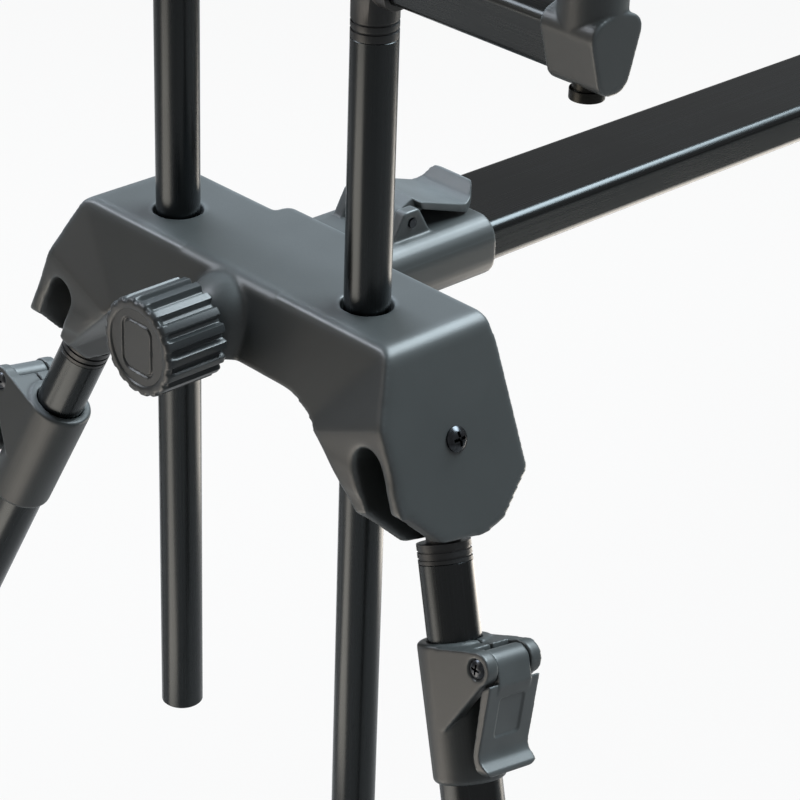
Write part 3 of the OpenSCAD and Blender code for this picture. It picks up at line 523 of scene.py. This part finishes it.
# Clamp knobs: moulded nylon over the stud's head, ribbed all round for wet fingers, with the plain
# outline of a panel cut in the face. Each pushes its yoke against both uprights.
knob_low, knob_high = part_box("front_knob")
KNOB_R = (knob_high.z - knob_low.z) / 2
KNOB_LEN = knob_high.y - knob_low.y
KNOB_RIM = 4.0 * MM
KNOB_HEEL = 1.0 * MM
KNOB_EDGE = 2.0 * MM
KNOB_BACK_RIM = 4.0 * MM
KNOB_STEPS = 360
KNOB_ROWS = 24
KNOB_CREASE = 40
FACE_SINK = 0.8 * MM
FACE_STEP = (0.4 * MM, 0.3 * MM)
FACE_RING = 0.35 * MM
RIB_HALF = (0.2, 0.38)
RIB_AT_FACE = 0.3
RIB_INSET = (3.2 * MM, 1.2 * MM)
LINE_HALF = (0.9 * MM, 0.3 * MM)
KNOB_SIZES = {
    "Ribs": 18.0, "Rib Depth": 2.6 * MM, "Radius": KNOB_R, "Panel Half Width": 9.0 * MM,
    "Panel Half Height": 11.0 * MM, "Panel Corner": 4.5 * MM, "Panel Depth": 0.8 * MM,
    "Face Height": KNOB_LEN - KNOB_EDGE, "Groove End": KNOB_LEN - 1.6 * MM,
    "Groove Fade": KNOB_LEN - 4.6 * MM}


def arc(centre, radius, start, stop, steps):
    """Points of an arc as radius and height pairs, angles in degrees."""
    turns = [math.radians(start + (stop - start) * i / steps) for i in range(steps + 1)]
    return [(centre[0] + radius * math.cos(t), centre[1] + radius * math.sin(t)) for t in turns]


def turned(name, profile, steps=96, loop=False):
    """A piece turned about Z from radius and height pairs, from pole to pole or, as a loop, hollow."""
    work = bmesh.new()
    rings = []
    for radius, height in profile:
        if radius < TOUCH:
            rings.append([work.verts.new((0, 0, height))] * steps)
            continue
        turns = [2 * math.pi * i / steps for i in range(steps)]
        rings.append([work.verts.new((radius * math.cos(t), radius * math.sin(t), height)) for t in turns])
    for low, high in zip(rings, rings[1:] + (rings[:1] if loop else [])):
        for i in range(steps):
            j = (i + 1) % steps
            corners = list(dict.fromkeys([low[i], low[j], high[j], high[i]]))
            if len(corners) > 2:
                work.faces.new(corners)
    bmesh.ops.recalc_face_normals(work, faces=work.faces)
    return to_mesh(work, name)


def stand(mesh, origin, up, side=None):
    """Sets a piece that was made about Z on an origin, with its Z along up and its X towards side."""
    up = Vector(up).normalized()
    side = Vector(side) if side is not None else up.orthogonal()
    side = (side - up * side.dot(up)).normalized()
    turn = Matrix((side, up.cross(side), up)).transposed()
    mesh.transform(Matrix.Translation(Vector(origin)) @ turn.to_4x4())
    return mesh


knob_tree, sizes = new_sizes("finger_ribs", list(KNOB_SIZES))
spot = add(knob_tree, "GeometryNodeInputPosition")
parts = add(knob_tree, "ShaderNodeSeparateXYZ", {0: spot.outputs[0]})
turn = add(knob_tree, "ShaderNodeMath", {0: parts.outputs["Y"], 1: parts.outputs["X"]}, operation="ARCTAN2")
lap = add(knob_tree, "ShaderNodeMath", {0: turn.outputs[0], 1: 2 * math.pi}, operation="DIVIDE")
count = add(knob_tree, "ShaderNodeMath", {0: lap.outputs[0], 1: sizes["Ribs"]}, operation="MULTIPLY")
between = add(knob_tree, "ShaderNodeMath", {0: count.outputs[0], 1: 0.5}, operation="PINGPONG")
groove = add(knob_tree, "ShaderNodeMapRange", {
    "Value": between.outputs[0], "From Min": RIB_HALF[0], "From Max": RIB_HALF[1]},
    interpolation_type="SMOOTHSTEP")
flat_spot = add(knob_tree, "ShaderNodeVectorMath", {0: spot.outputs[0], 1: (1, 1, 0)}, operation="MULTIPLY")
reach = add(knob_tree, "ShaderNodeVectorMath", {0: flat_spot.outputs[0]}, operation="LENGTH")
inset = add(knob_tree, "ShaderNodeMath", {0: sizes["Radius"], 1: RIB_INSET[0]}, operation="SUBTRACT")
outset = add(knob_tree, "ShaderNodeMath", {0: sizes["Radius"], 1: RIB_INSET[1]}, operation="SUBTRACT")
outer = add(knob_tree, "ShaderNodeMapRange", {
    "Value": reach.outputs["Value"], "From Min": inset.outputs[0], "From Max": outset.outputs[0]},
    interpolation_type="SMOOTHSTEP")
below = add(knob_tree, "ShaderNodeMapRange", {
    "Value": parts.outputs["Z"], "From Min": sizes["Groove End"], "From Max": sizes["Groove Fade"],
    "To Min": RIB_AT_FACE}, interpolation_type="SMOOTHSTEP")
rib_wall = add(knob_tree, "ShaderNodeMath", {0: groove.outputs[0], 1: below.outputs[0]}, operation="MULTIPLY")
cut = add(knob_tree, "ShaderNodeMath", {0: rib_wall.outputs[0], 1: outer.outputs[0]}, operation="MULTIPLY")
cut_depth = add(knob_tree, "ShaderNodeMath", {0: cut.outputs[0], 1: sizes["Rib Depth"]}, operation="MULTIPLY")
inward = add(knob_tree, "ShaderNodeVectorMath", {0: flat_spot.outputs[0]}, operation="NORMALIZE")
inward_turned = add(knob_tree, "ShaderNodeVectorMath", {
    0: inward.outputs[0], "Scale": -1.0}, operation="SCALE")
rib_move = add(knob_tree, "ShaderNodeVectorMath", {
    0: inward_turned.outputs[0], "Scale": cut_depth.outputs[0]}, operation="SCALE")
ribbed = add(knob_tree, "GeometryNodeSetPosition", {
    "Geometry": sizes["Geometry"], "Offset": rib_move.outputs[0]})
wide = add(knob_tree, "ShaderNodeMath", {0: parts.outputs["X"]}, operation="ABSOLUTE")
tall = add(knob_tree, "ShaderNodeMath", {0: parts.outputs["Y"]}, operation="ABSOLUTE")
half_wide = add(knob_tree, "ShaderNodeMath", {
    0: sizes["Panel Half Width"], 1: sizes["Panel Corner"]}, operation="SUBTRACT")
half_tall = add(knob_tree, "ShaderNodeMath", {
    0: sizes["Panel Half Height"], 1: sizes["Panel Corner"]}, operation="SUBTRACT")
over_x = add(knob_tree, "ShaderNodeMath", {0: wide.outputs[0], 1: half_wide.outputs[0]}, operation="SUBTRACT")
over_y = add(knob_tree, "ShaderNodeMath", {0: tall.outputs[0], 1: half_tall.outputs[0]}, operation="SUBTRACT")
over = add(knob_tree, "ShaderNodeCombineXYZ", {"X": over_x.outputs[0], "Y": over_y.outputs[0]})
past = add(knob_tree, "ShaderNodeVectorMath", {0: over.outputs[0], 1: (0, 0, 0)}, operation="MAXIMUM")
far = add(knob_tree, "ShaderNodeVectorMath", {0: past.outputs[0]}, operation="LENGTH")
rim = add(knob_tree, "ShaderNodeMath", {
    0: far.outputs["Value"], 1: sizes["Panel Corner"]}, operation="SUBTRACT")
off_line = add(knob_tree, "ShaderNodeMath", {0: rim.outputs[0]}, operation="ABSOLUTE")
on_line = add(knob_tree, "ShaderNodeMapRange", {
    "Value": off_line.outputs[0], "From Min": LINE_HALF[0], "From Max": LINE_HALF[1]},
    interpolation_type="SMOOTHSTEP")
front = add(knob_tree, "ShaderNodeMath", {
    0: parts.outputs["Z"], 1: sizes["Face Height"]}, operation="GREATER_THAN")
press = add(knob_tree, "ShaderNodeMath", {0: on_line.outputs[0], 1: front.outputs[0]}, operation="MULTIPLY")
press_depth = add(knob_tree, "ShaderNodeMath", {
    0: press.outputs[0], 1: sizes["Panel Depth"]}, operation="MULTIPLY")
press_down = add(knob_tree, "ShaderNodeMath", {0: press_depth.outputs[0], 1: -1.0}, operation="MULTIPLY")
panel_move = add(knob_tree, "ShaderNodeCombineXYZ", {"Z": press_down.outputs[0]})
panelled = add(knob_tree, "GeometryNodeSetPosition", {
    "Geometry": ribbed.outputs[0], "Offset": panel_move.outputs[0]})
close_tree(knob_tree, panelled.outputs[0], sizes["Finish"])

wall = KNOB_LEN - KNOB_HEEL - KNOB_EDGE
face = KNOB_R - KNOB_RIM - FACE_SINK
face_rings = int(face / FACE_RING)
knob_profile = [(0, 0), (KNOB_R - KNOB_BACK_RIM, 0)]
knob_profile += arc((KNOB_R - KNOB_HEEL, KNOB_HEEL), KNOB_HEEL, -90, 0, 4)
knob_profile += [(KNOB_R, KNOB_HEEL + wall * i / KNOB_ROWS) for i in range(1, KNOB_ROWS)]
knob_profile += arc((KNOB_R - KNOB_EDGE, KNOB_LEN - KNOB_EDGE), KNOB_EDGE, 0, 90, 6)
knob_profile += [(KNOB_R - KNOB_RIM, KNOB_LEN)]
knob_profile += [(KNOB_R - KNOB_RIM - FACE_STEP[0], KNOB_LEN - FACE_STEP[1])]
knob_profile += [(face * (1 - i / face_rings), KNOB_LEN - FACE_SINK) for i in range(face_rings + 1)]


def smooth_nylon(name, dark, light):
    """Small mouldings from a polished mould: smoother than the heads, with soft highlights along
    their ribs and hardly any grain. The mottling is about 12 mm across."""
    made, tree, shader = new_finish(name)
    place = add(tree, "ShaderNodeTexCoord")
    grit = add(tree, "ShaderNodeTexNoise", {
        "Vector": place.outputs["Object"], "Scale": 1 / (0.6 * MM), "Detail": 2.0})
    flow = add(tree, "ShaderNodeTexNoise", {
        "Vector": place.outputs["Object"], "Scale": 1 / (12 * MM), "Detail": 3.0})
    tone = add(tree, "ShaderNodeMix", {
        0: flow.outputs["Fac"], 6: linear(dark), 7: linear(light)}, data_type="RGBA")
    gloss = add(tree, "ShaderNodeMapRange", {"Value": grit.outputs["Fac"], "To Min": 0.32, "To Max": 0.45})
    relief = add(tree, "ShaderNodeBump", {
        "Height": grit.outputs["Fac"], "Strength": 0.1, "Distance": 0.05 * MM})
    dress(shader, tone.outputs[2], gloss.outputs[0], relief.outputs[0])
    shader.inputs["IOR"].default_value = 1.53
    return made


# Charcoal nylon, smooth: a mid grey that keeps the ribs readable.
knob_nylon = smooth_nylon("moulded_nylon_charcoal_smooth", "#303334", "#383b3c")
for end in ENDS:
    low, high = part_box(f"{end}_knob")
    middle = (low + high) / 2
    out = Vector(joints[f"{end}_knob_turn"]["axis"])
    base = Vector((middle.x, high.y if out.y < 0 else low.y, middle.z))
    mesh = run_tree(knob_tree, turned(f"{end}_knob", knob_profile, KNOB_STEPS), knob_nylon, KNOB_SIZES)
    stand(mesh, base, out, (1, 0, 0))
    shade(mesh, KNOB_CREASE)
    fit(f"{end}_ribbed_knob", mesh, f"{end}_knob", "moulded_nylon", knob_nylon, f"{end}_knob")

# Uprights: two drawn aluminium tubes at each end, sawn, deburred and anodised satin black.
# They slide in the head's bores and the yoke clamps them.
TUBE_WALL = 1.4 * MM
TUBE_BREAK = 0.35 * MM


def tube(name, radius, start, stop, steps=96):
    """A drawn tube with broken edges, along Z."""
    inner = radius - TUBE_WALL
    return turned(name, [
        (inner, start + TUBE_BREAK), (inner + TUBE_BREAK, start), (radius - TUBE_BREAK, start),
        (radius, start + TUBE_BREAK), (radius, stop - TUBE_BREAK), (radius - TUBE_BREAK, stop),
        (inner + TUBE_BREAK, stop), (inner, stop - TUBE_BREAK)], steps, loop=True)


for end in ENDS:
    low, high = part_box(f"{end}_uprights")
    radius = (high.y - low.y) / 2
    pair = bmesh.new()
    middle = (low.y + high.y) / 2
    for x in (low.x + radius, high.x - radius):
        one = stand(tube("upright", radius, 0, high.z - low.z), (x, middle, low.z), (0, 0, 1), (1, 0, 0))
        pair.from_mesh(one)
        bpy.data.meshes.remove(one)
    mesh = mark_grain(shade(to_mesh(pair, f"{end}_upright_tubes")), (0, 0, 1))
    fit(f"{end}_upright_tubes", mesh, f"{end}_rest", "anodised_tube", anodised, f"{end}_uprights")

# Upright fittings: moulded sockets with two ring grooves that join the uprights to the buzz bar,
# and domed plugs in their lower ends. Nylon, pushed in and glued.
FITTING_EDGE = 0.4 * MM

# Black nylon, smooth: nearly as dark as the tubes, so that the rings read as one with them.
black_nylon = smooth_nylon("moulded_nylon_black_smooth", "#1b1c1d", "#232425")
# Grey nylon, smooth: a paler batch, which shows as a light rim under each upright.
plug_nylon = smooth_nylon("moulded_nylon_grey_smooth", "#85898a", "#939697")
for end in ENDS:
    fittings = f"{end}_upright_fittings"
    mesh = broken_edges(fittings, f"{end}_upright_sockets", FITTING_EDGE)
    fit(f"{end}_upright_sockets", mesh, f"{end}_rest", "moulded_nylon", black_nylon, fittings)
    mesh.materials.append(plug_nylon)
    middle = sum(corner.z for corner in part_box(f"{end}_uprights")) / 2
    for face in mesh.polygons:
        face.material_index = int(face.center.z < middle)

# Buzz bars: shield-shaped aluminium extrusions across the tops of the uprights, which carry the
# alarms and rod rests. Sawn, deburred and anodised as the tubes.
BUZZ_EDGE = 0.3 * MM
BUZZ_RUN = (1, 0, 0)
for end in ENDS:
    mesh = mark_grain(broken_edges(f"{end}_buzz_bar", f"{end}_buzz_profile", BUZZ_EDGE), BUZZ_RUN)
    fit(f"{end}_buzz_profile", mesh, f"{end}_rest", "anodised_tube", anodised, f"{end}_buzz_bar")

# Buzz bar mouldings: an end cap over each end of the profile and a saddle on its middle,
# each with a round boss for an alarm's thread. Nylon, moulded.
CAP_SKIN = 0.6 * MM
CAP_PASSES = 6
for end in ENDS:
    mesh = moulded(f"{end}_buzz_mouldings", f"{end}_buzz_caps", CAP_SKIN, CAP_PASSES)
    fit(f"{end}_buzz_caps", mesh, f"{end}_rest", "moulded_nylon", nylon, f"{end}_buzz_mouldings")

# Alarm inserts: turned brass bushes through the bosses, tapped for a bank stick thread, with a round
# nut below. Blackened.
BUSH_EDGE = 0.3 * MM
for end in ENDS:
    mesh = broken_edges(f"{end}_buzz_inserts", f"{end}_alarm_bushes", BUSH_EDGE)
    fit(f"{end}_alarm_bushes", mesh, f"{end}_rest", "brass", brass, f"{end}_buzz_inserts")

# Leg plugs: moulded fingers that hinge in the head's slots, each with a ringed collar that the leg
# tube butts against and a spigot glued inside it.
LEGS = [f"{end}_{side}" for end in ENDS for side in SIDES]
PLUG_EDGE = 0.35 * MM
for leg in LEGS:
    mesh = broken_edges(f"{leg}_leg_plug", f"{leg}_hinge_plug", PLUG_EDGE)
    fit(f"{leg}_hinge_plug", mesh, f"{leg}_upper_leg", "moulded_nylon", black_nylon, f"{leg}_leg_plug")

# Leg tubes: an upper tube that slides inside a wider lower tube. Drawn aluminium, anodised
# as the uprights.


def measure(node, origin, axis):
    """Lowest and highest place of a node along an axis, and how far it reaches from it."""
    rel = read_points(frame["nodes"][node].data) - np.array(origin)
    up = rel @ np.array(axis)
    out = np.linalg.norm(rel - up[:, None] * np.array(axis), axis=1)
    return up.min(), up.max(), out.max()


for leg in LEGS:
    hinge = joints[f"{leg}_leg_fold"]["pos_m"]
    up = Vector(joints[f"{leg}_leg_extend"]["axis"]).normalized()
    for part, body in (("upper", f"{leg}_upper_leg"), ("lower", f"{leg}_lower_leg")):
        start, stop, radius = measure(f"{leg}_{part}_tube", hinge, up)
        mesh = stand(tube(f"{leg}_{part}_leg_tube", radius, start, stop), hinge, up)
        mark_grain(shade(mesh), up)
        fit(f"{leg}_{part}_leg_tube", mesh, body, "anodised_tube", anodised, f"{leg}_{part}_tube")

# Leg locks: moulded sleeves glued on the tops of the lower tubes, split in front, with two cheeks
# that hold the lever's screw.
LOCK_SKIN = 0.55 * MM
LOCK_PASSES = 6
for leg in LEGS:
    mesh = moulded(f"{leg}_lock_body", f"{leg}_leg_lock", LOCK_SKIN, LOCK_PASSES)
    fit(f"{leg}_leg_lock", mesh, f"{leg}_lower_leg", "moulded_nylon", nylon, f"{leg}_lock_body")

# Leg levers: moulded cam levers, each with a barrel between the cheeks, a shallow bare panel in its
# face and a tip that curls out for the thumb.
LEG_LEVER_SKIN = 0.42 * MM
FACE_TOP = (6.2 * MM, -6.2 * MM)
FACE_LOW = (-5.6 * MM, -36.6 * MM)
PANEL_MIDDLE = 15.8 * MM
PANEL_HALF = (6.8 * MM, 8.6 * MM)
PANEL_CORNER = 1.6 * MM
PANEL_DEPTH = 0.7 * MM
PANEL_RAMP = 0.7 * MM
FACE_TURN = 0.75


def lock_frame(leg):
    """The lever pin's place, with the directions out from the leg, across it and up it."""
    pin = Vector(joints[f"{leg}_leg_lever_turn"]["pos_m"])
    hinge = Vector(joints[f"{leg}_leg_fold"]["pos_m"])
    up = Vector(joints[f"{leg}_leg_extend"]["axis"]).normalized()
    out = pin - hinge - up * (pin - hinge).dot(up)
    out.normalize()
    return pin, out, up.cross(out), up


def press_panel(mesh, leg):
    """Presses the bare panel into the face of a lever."""
    pin, out, across, up = (np.array(v) for v in lock_frame(leg))
    rel = read_points(mesh) - pin
    down = np.array(FACE_LOW) - np.array(FACE_TOP)
    down /= np.linalg.norm(down)
    square = out * -down[1] + up * down[0]
    along = (rel @ out - FACE_TOP[0]) * down[0] + (rel @ up - FACE_TOP[1]) * down[1] - PANEL_MIDDLE
    sideways = np.abs(rel @ across)
    over = np.stack([sideways - PANEL_HALF[0], np.abs(along) - PANEL_HALF[1]], axis=1) + PANEL_CORNER
    rim = np.linalg.norm(np.maximum(over, 0), axis=1) - PANEL_CORNER
    inside = np.clip(0.5 - rim / PANEL_RAMP, 0, 1)
    outer_face = read_normals(mesh) @ square > FACE_TURN
    write_points(mesh, read_points(mesh) - square * (PANEL_DEPTH * inside * outer_face)[:, None])


# Each leg lever takes the same all-over lighter tone, partly thumb wear and partly a painted highlight.
for leg in LEGS:
    mesh = moulded(
        f"{leg}_leg_lever", f"{leg}_leg_clamp_lever", LEG_LEVER_SKIN, LEVER_PASSES, handling_and_highlight=LEVER_WEAR_AND_HIGHLIGHT)
    press_panel(mesh, leg)
    fit(f"{leg}_leg_clamp_lever", mesh, f"{leg}_leg_lever", "moulded_nylon", nylon, f"{leg}_leg_lever")

# Lock screws: a cross-head screw through both cheeks and the lever's barrel, with a second head
# screwed on from the other side.
LOCK_SEAT = 13.8 * MM
LOCK_SCREW = dict(HINGE_SCREW)
LOCK_SCREW.update({
    "Head Radius": 4.0 * MM, "Head Height": 1.6 * MM,
    "Shank Radius": 2.4 * MM, "Shank Length": LOCK_SEAT + 1.0 * MM,
    "Recess Length": 4.6 * MM, "Recess Width": 1.0 * MM, "Recess Depth": 1.1 * MM,
    "Nut Radius": 1.0 * MM, "Nut Height": 2.0 * MM, "Nut Distance": 4.0 * MM})
for leg in LEGS:
    pin, _, across, _ = lock_frame(leg)
    places = [pin + across * LOCK_SEAT, pin - across * LOCK_SEAT]
    seat_points = seats(f"{leg}_lock_seats", places, [across, -across])
    mesh = run_tree(screw_tree, seat_points, black_steel, LOCK_SCREW)
    shade(mesh, SCREW_CREASE)
    fit(f"{leg}_lever_screw", mesh, f"{leg}_lower_leg", "black_steel", black_steel, f"{leg}_lock_screw")

# Feet: rubber boots pushed on the ends of the lower tubes, with a ball end worn flat where it stands
# and three grip rings round the sleeve.
FOOT_R = 17 * MM
FOOT_SLEEVE = 26 * MM
FOOT_FLOOR = 6 * MM
FOOT_LIP = 2 * MM
FOOT_LIP_R = 0.7 * MM
FOOT_GAP = 0.05 * MM
FOOT_RINGS = 3
FOOT_RING_DEPTH = 0.35 * MM
FOOT_RING_ZONE = (0.25, 0.92)
FOOT_ROWS = 60
FOOT_CREASE = 50

# Moulded rubber: matt and nearly black, with dust in soft patches about 4 mm across. The skin's
# roughness, really finer, is drawn at 0.7 mm.
rubber, tree, shader = new_finish("moulded_rubber_matt_black")
place = add(tree, "ShaderNodeTexCoord")
dust = add(tree, "ShaderNodeTexNoise", {
    "Vector": place.outputs["Object"], "Scale": 1 / (4 * MM), "Detail": 5.0})
skin = add(tree, "ShaderNodeTexNoise", {
    "Vector": place.outputs["Object"], "Scale": 1 / (0.7 * MM), "Detail": 2.0})
tone = add(tree, "ShaderNodeMix", {
    0: dust.outputs["Fac"], 6: linear("#1a1a1a"), 7: linear("#2b2b2a")}, data_type="RGBA")
gloss = add(tree, "ShaderNodeMapRange", {"Value": dust.outputs["Fac"], "To Min": 0.62, "To Max": 0.85})
relief = add(tree, "ShaderNodeBump", {"Height": skin.outputs["Fac"], "Strength": 0.2, "Distance": 0.08 * MM})
dress(shader, tone.outputs[2], gloss.outputs[0], relief.outputs[0])
for leg in LEGS:
    hinge = Vector(joints[f"{leg}_leg_fold"]["pos_m"])
    up = Vector(joints[f"{leg}_leg_extend"]["axis"]).normalized()
    tube_end, _, tube_r = measure(f"{leg}_lower_tube", hinge, up)
    foot = tube_end - FOOT_FLOOR
    bore = tube_r + FOOT_GAP
    lip = tube_r + FOOT_LIP
    profile = arc((0, 0), FOOT_R, -90, 0, 24)
    for row in range(1, FOOT_ROWS):
        part = row / FOOT_ROWS
        ringed = FOOT_RING_ZONE[0] < part < FOOT_RING_ZONE[1]
        wave = math.sin(math.pi * (part * 2 * FOOT_RINGS + 0.5)) if ringed else 1
        profile.append((FOOT_R + (lip - FOOT_R) * part - FOOT_RING_DEPTH * (1 - wave), FOOT_SLEEVE * part))
    profile += arc((lip - FOOT_LIP_R, FOOT_SLEEVE - FOOT_LIP_R), FOOT_LIP_R, 0, 90, 4)
    profile += [(bore, FOOT_SLEEVE), (bore, FOOT_FLOOR), (0, FOOT_FLOOR)]
    mesh = stand(turned(f"{leg}_rubber_foot", profile), hinge + up * foot, up)
    points = read_points(mesh)
    points[:, 2] = np.maximum(points[:, 2], 0)
    write_points(mesh, points)
    shade(mesh, FOOT_CREASE)
    fit(f"{leg}_rubber_foot", mesh, f"{leg}_lower_leg", "rubber", rubber, f"{leg}_foot")

# Floor: a plain pale studio sheet, seen as nearly white, which still takes the pod's soft shadow.
# Round it stands an even pale studio, dimmer in the gloss so that black surfaces stay black.
FLOOR_HALF = 6.0
FLOOR_WHITE = 0.9
FLOOR_IN_GLOSS = 0.05
STUDIO_IN_GLOSS = 0.27
STUDIO_FILL = 0.1
paper, tree, shader = new_finish("pale_studio_paper")
shader.inputs["Base Color"].default_value = linear("#84817d")
shader.inputs["Roughness"].default_value = 0.9
path = add(tree, "ShaderNodeLightPath")
direct = add(tree, "ShaderNodeMath", {
    0: path.outputs["Is Camera Ray"], 1: path.outputs["Is Transmission Ray"]}, operation="MAXIMUM")
white = add(tree, "ShaderNodeMath", {0: direct.outputs[0], 1: FLOOR_WHITE}, operation="MULTIPLY")
mirrored = add(tree, "ShaderNodeMath", {
    0: path.outputs["Is Glossy Ray"], 1: FLOOR_IN_GLOSS}, operation="MULTIPLY")
seen = add(tree, "ShaderNodeMath", {0: white.outputs[0], 1: mirrored.outputs[0]}, operation="MAXIMUM")
glow = add(tree, "ShaderNodeEmission", {"Color": (1, 1, 1, 1), "Strength": 1.0})
both = add(tree, "ShaderNodeMixShader", {0: seen.outputs[0], 1: shader.outputs[0], 2: glow.outputs[0]})
tree.links.new(both.outputs[0], tree.nodes["Material Output"].inputs["Surface"])
work = bmesh.new()
bmesh.ops.create_grid(work, x_segments=4, y_segments=4, size=FLOOR_HALF)
floor_mesh = to_mesh(work, "floor")
floor_mesh.materials.append(paper)
floor = bpy.data.objects.new("floor", floor_mesh)
bpy.context.scene.collection.objects.link(floor)

world = bpy.data.worlds.new("studio")
world.use_nodes = True
bpy.context.scene.world = world
tree = world.node_tree
path = add(tree, "ShaderNodeLightPath")
direct = add(tree, "ShaderNodeMath", {
    0: path.outputs["Is Camera Ray"], 1: path.outputs["Is Transmission Ray"]}, operation="MAXIMUM")
mirrored = add(tree, "ShaderNodeMath", {
    0: path.outputs["Is Glossy Ray"], 1: STUDIO_IN_GLOSS}, operation="MULTIPLY")
seen = add(tree, "ShaderNodeMath", {0: direct.outputs[0], 1: mirrored.outputs[0]}, operation="MAXIMUM")
level = add(tree, "ShaderNodeMath", {0: seen.outputs[0], 1: STUDIO_FILL}, operation="MAXIMUM")
tree.links.new(level.outputs[0], tree.nodes["Background"].inputs["Strength"])
tree.nodes["Background"].inputs["Color"].default_value = (1, 1, 1, 1)

# Lamps: a large soft box behind and above, fills on the left, right and front, and a small box whose
# gloss draws the upper front edges of the heads.


def soft_box(name, place, target, size, watts, tone):
    """A studio soft box that faces a point."""
    lamp = bpy.data.lights.new(name, "AREA")
    lamp.shape = "RECTANGLE"
    lamp.size, lamp.size_y = size
    lamp.energy = watts
    lamp.color = linear(tone)[:3]
    made = bpy.data.objects.new(name, lamp)
    made.location = place
    made.rotation_euler = (Vector(target) - Vector(place)).to_track_quat("-Z", "Y").to_euler()
    made.visible_camera = False
    bpy.context.scene.collection.objects.link(made)
    return made


soft_box("key_box", (0.3, 0.85, 2.0), (0, -0.4, 0.35), (1.4, 1.0), 76, "#e2f2fa")
left_box = soft_box("left_box", (-0.9, -0.1, 1.5), (-0.1, -0.4, 0.4), (0.7, 0.7), 66, "#eaf2ff")
left_box.visible_glossy = False
soft_box("front_box", (-0.95, -2.2, 0.9), (0, -0.4, 0.4), (0.7, 1.8), 3, "#fff6e8")
right_box = soft_box("right_box", (2.0, -0.3, 1.0), (0, -0.4, 0.4), (0.6, 1.2), 8.5, "#f0f5ff")
right_box.visible_glossy = False
edge_box = soft_box("edge_box", (-1.3, -1.4, 1.65), (0, -0.42, 0.4), (0.8, 0.8), 20, "#f0f6ff")
edge_box.visible_diffuse = False

# Cards on the floor that only the gloss sees, for the long highlights on the tubes and the bar:
# each card's place and turn, its size and its power.
CARDS = {
    "near_card": ((-0.09, -0.77, 0.03), -14, (0.2, 0.4), 0.8),
    "far_card": ((-0.26, -1.36, 0.03), -14, (0.68, 0.78), 5.2),
    "bar_card": ((0.09, 0.35, 0.03), 0, (0.42, 0.7), 3.6)}
for name, (place, degrees, size, watts) in CARDS.items():
    card = soft_box(name, place, (place[0], place[1], 1), size, watts, "#fff4e6")
    card.rotation_euler = (math.pi, 0, math.radians(degrees))
    card.visible_diffuse = False

# Camera: as the photograph stands, in front and to the right of the pod, looking a little down.
CAMERA_PLACE = (0.75509, -1.0575, 0.87196)
CAMERA_RIGHT = (0.68506791, 0.7278164, 0.03106842)
CAMERA_UP = (-0.36385771, 0.30491606, 0.88013281)
CAMERA_BACK = (0.63110184, -0.61425522, 0.47370982)
SENSOR_MM = 36.0
LENS_MM = 121.37
lens = bpy.data.cameras.new("camera")
lens.sensor_width = SENSOR_MM
lens.lens = LENS_MM
camera = bpy.data.objects.new("camera", lens)
turn = Matrix((CAMERA_RIGHT, CAMERA_UP, CAMERA_BACK)).transposed()
camera.matrix_world = Matrix.Translation(CAMERA_PLACE) @ turn.to_4x4()
bpy.context.scene.collection.objects.link(camera)
bpy.context.scene.camera = camera
bpy.context.scene.view_settings.view_transform = "Standard"
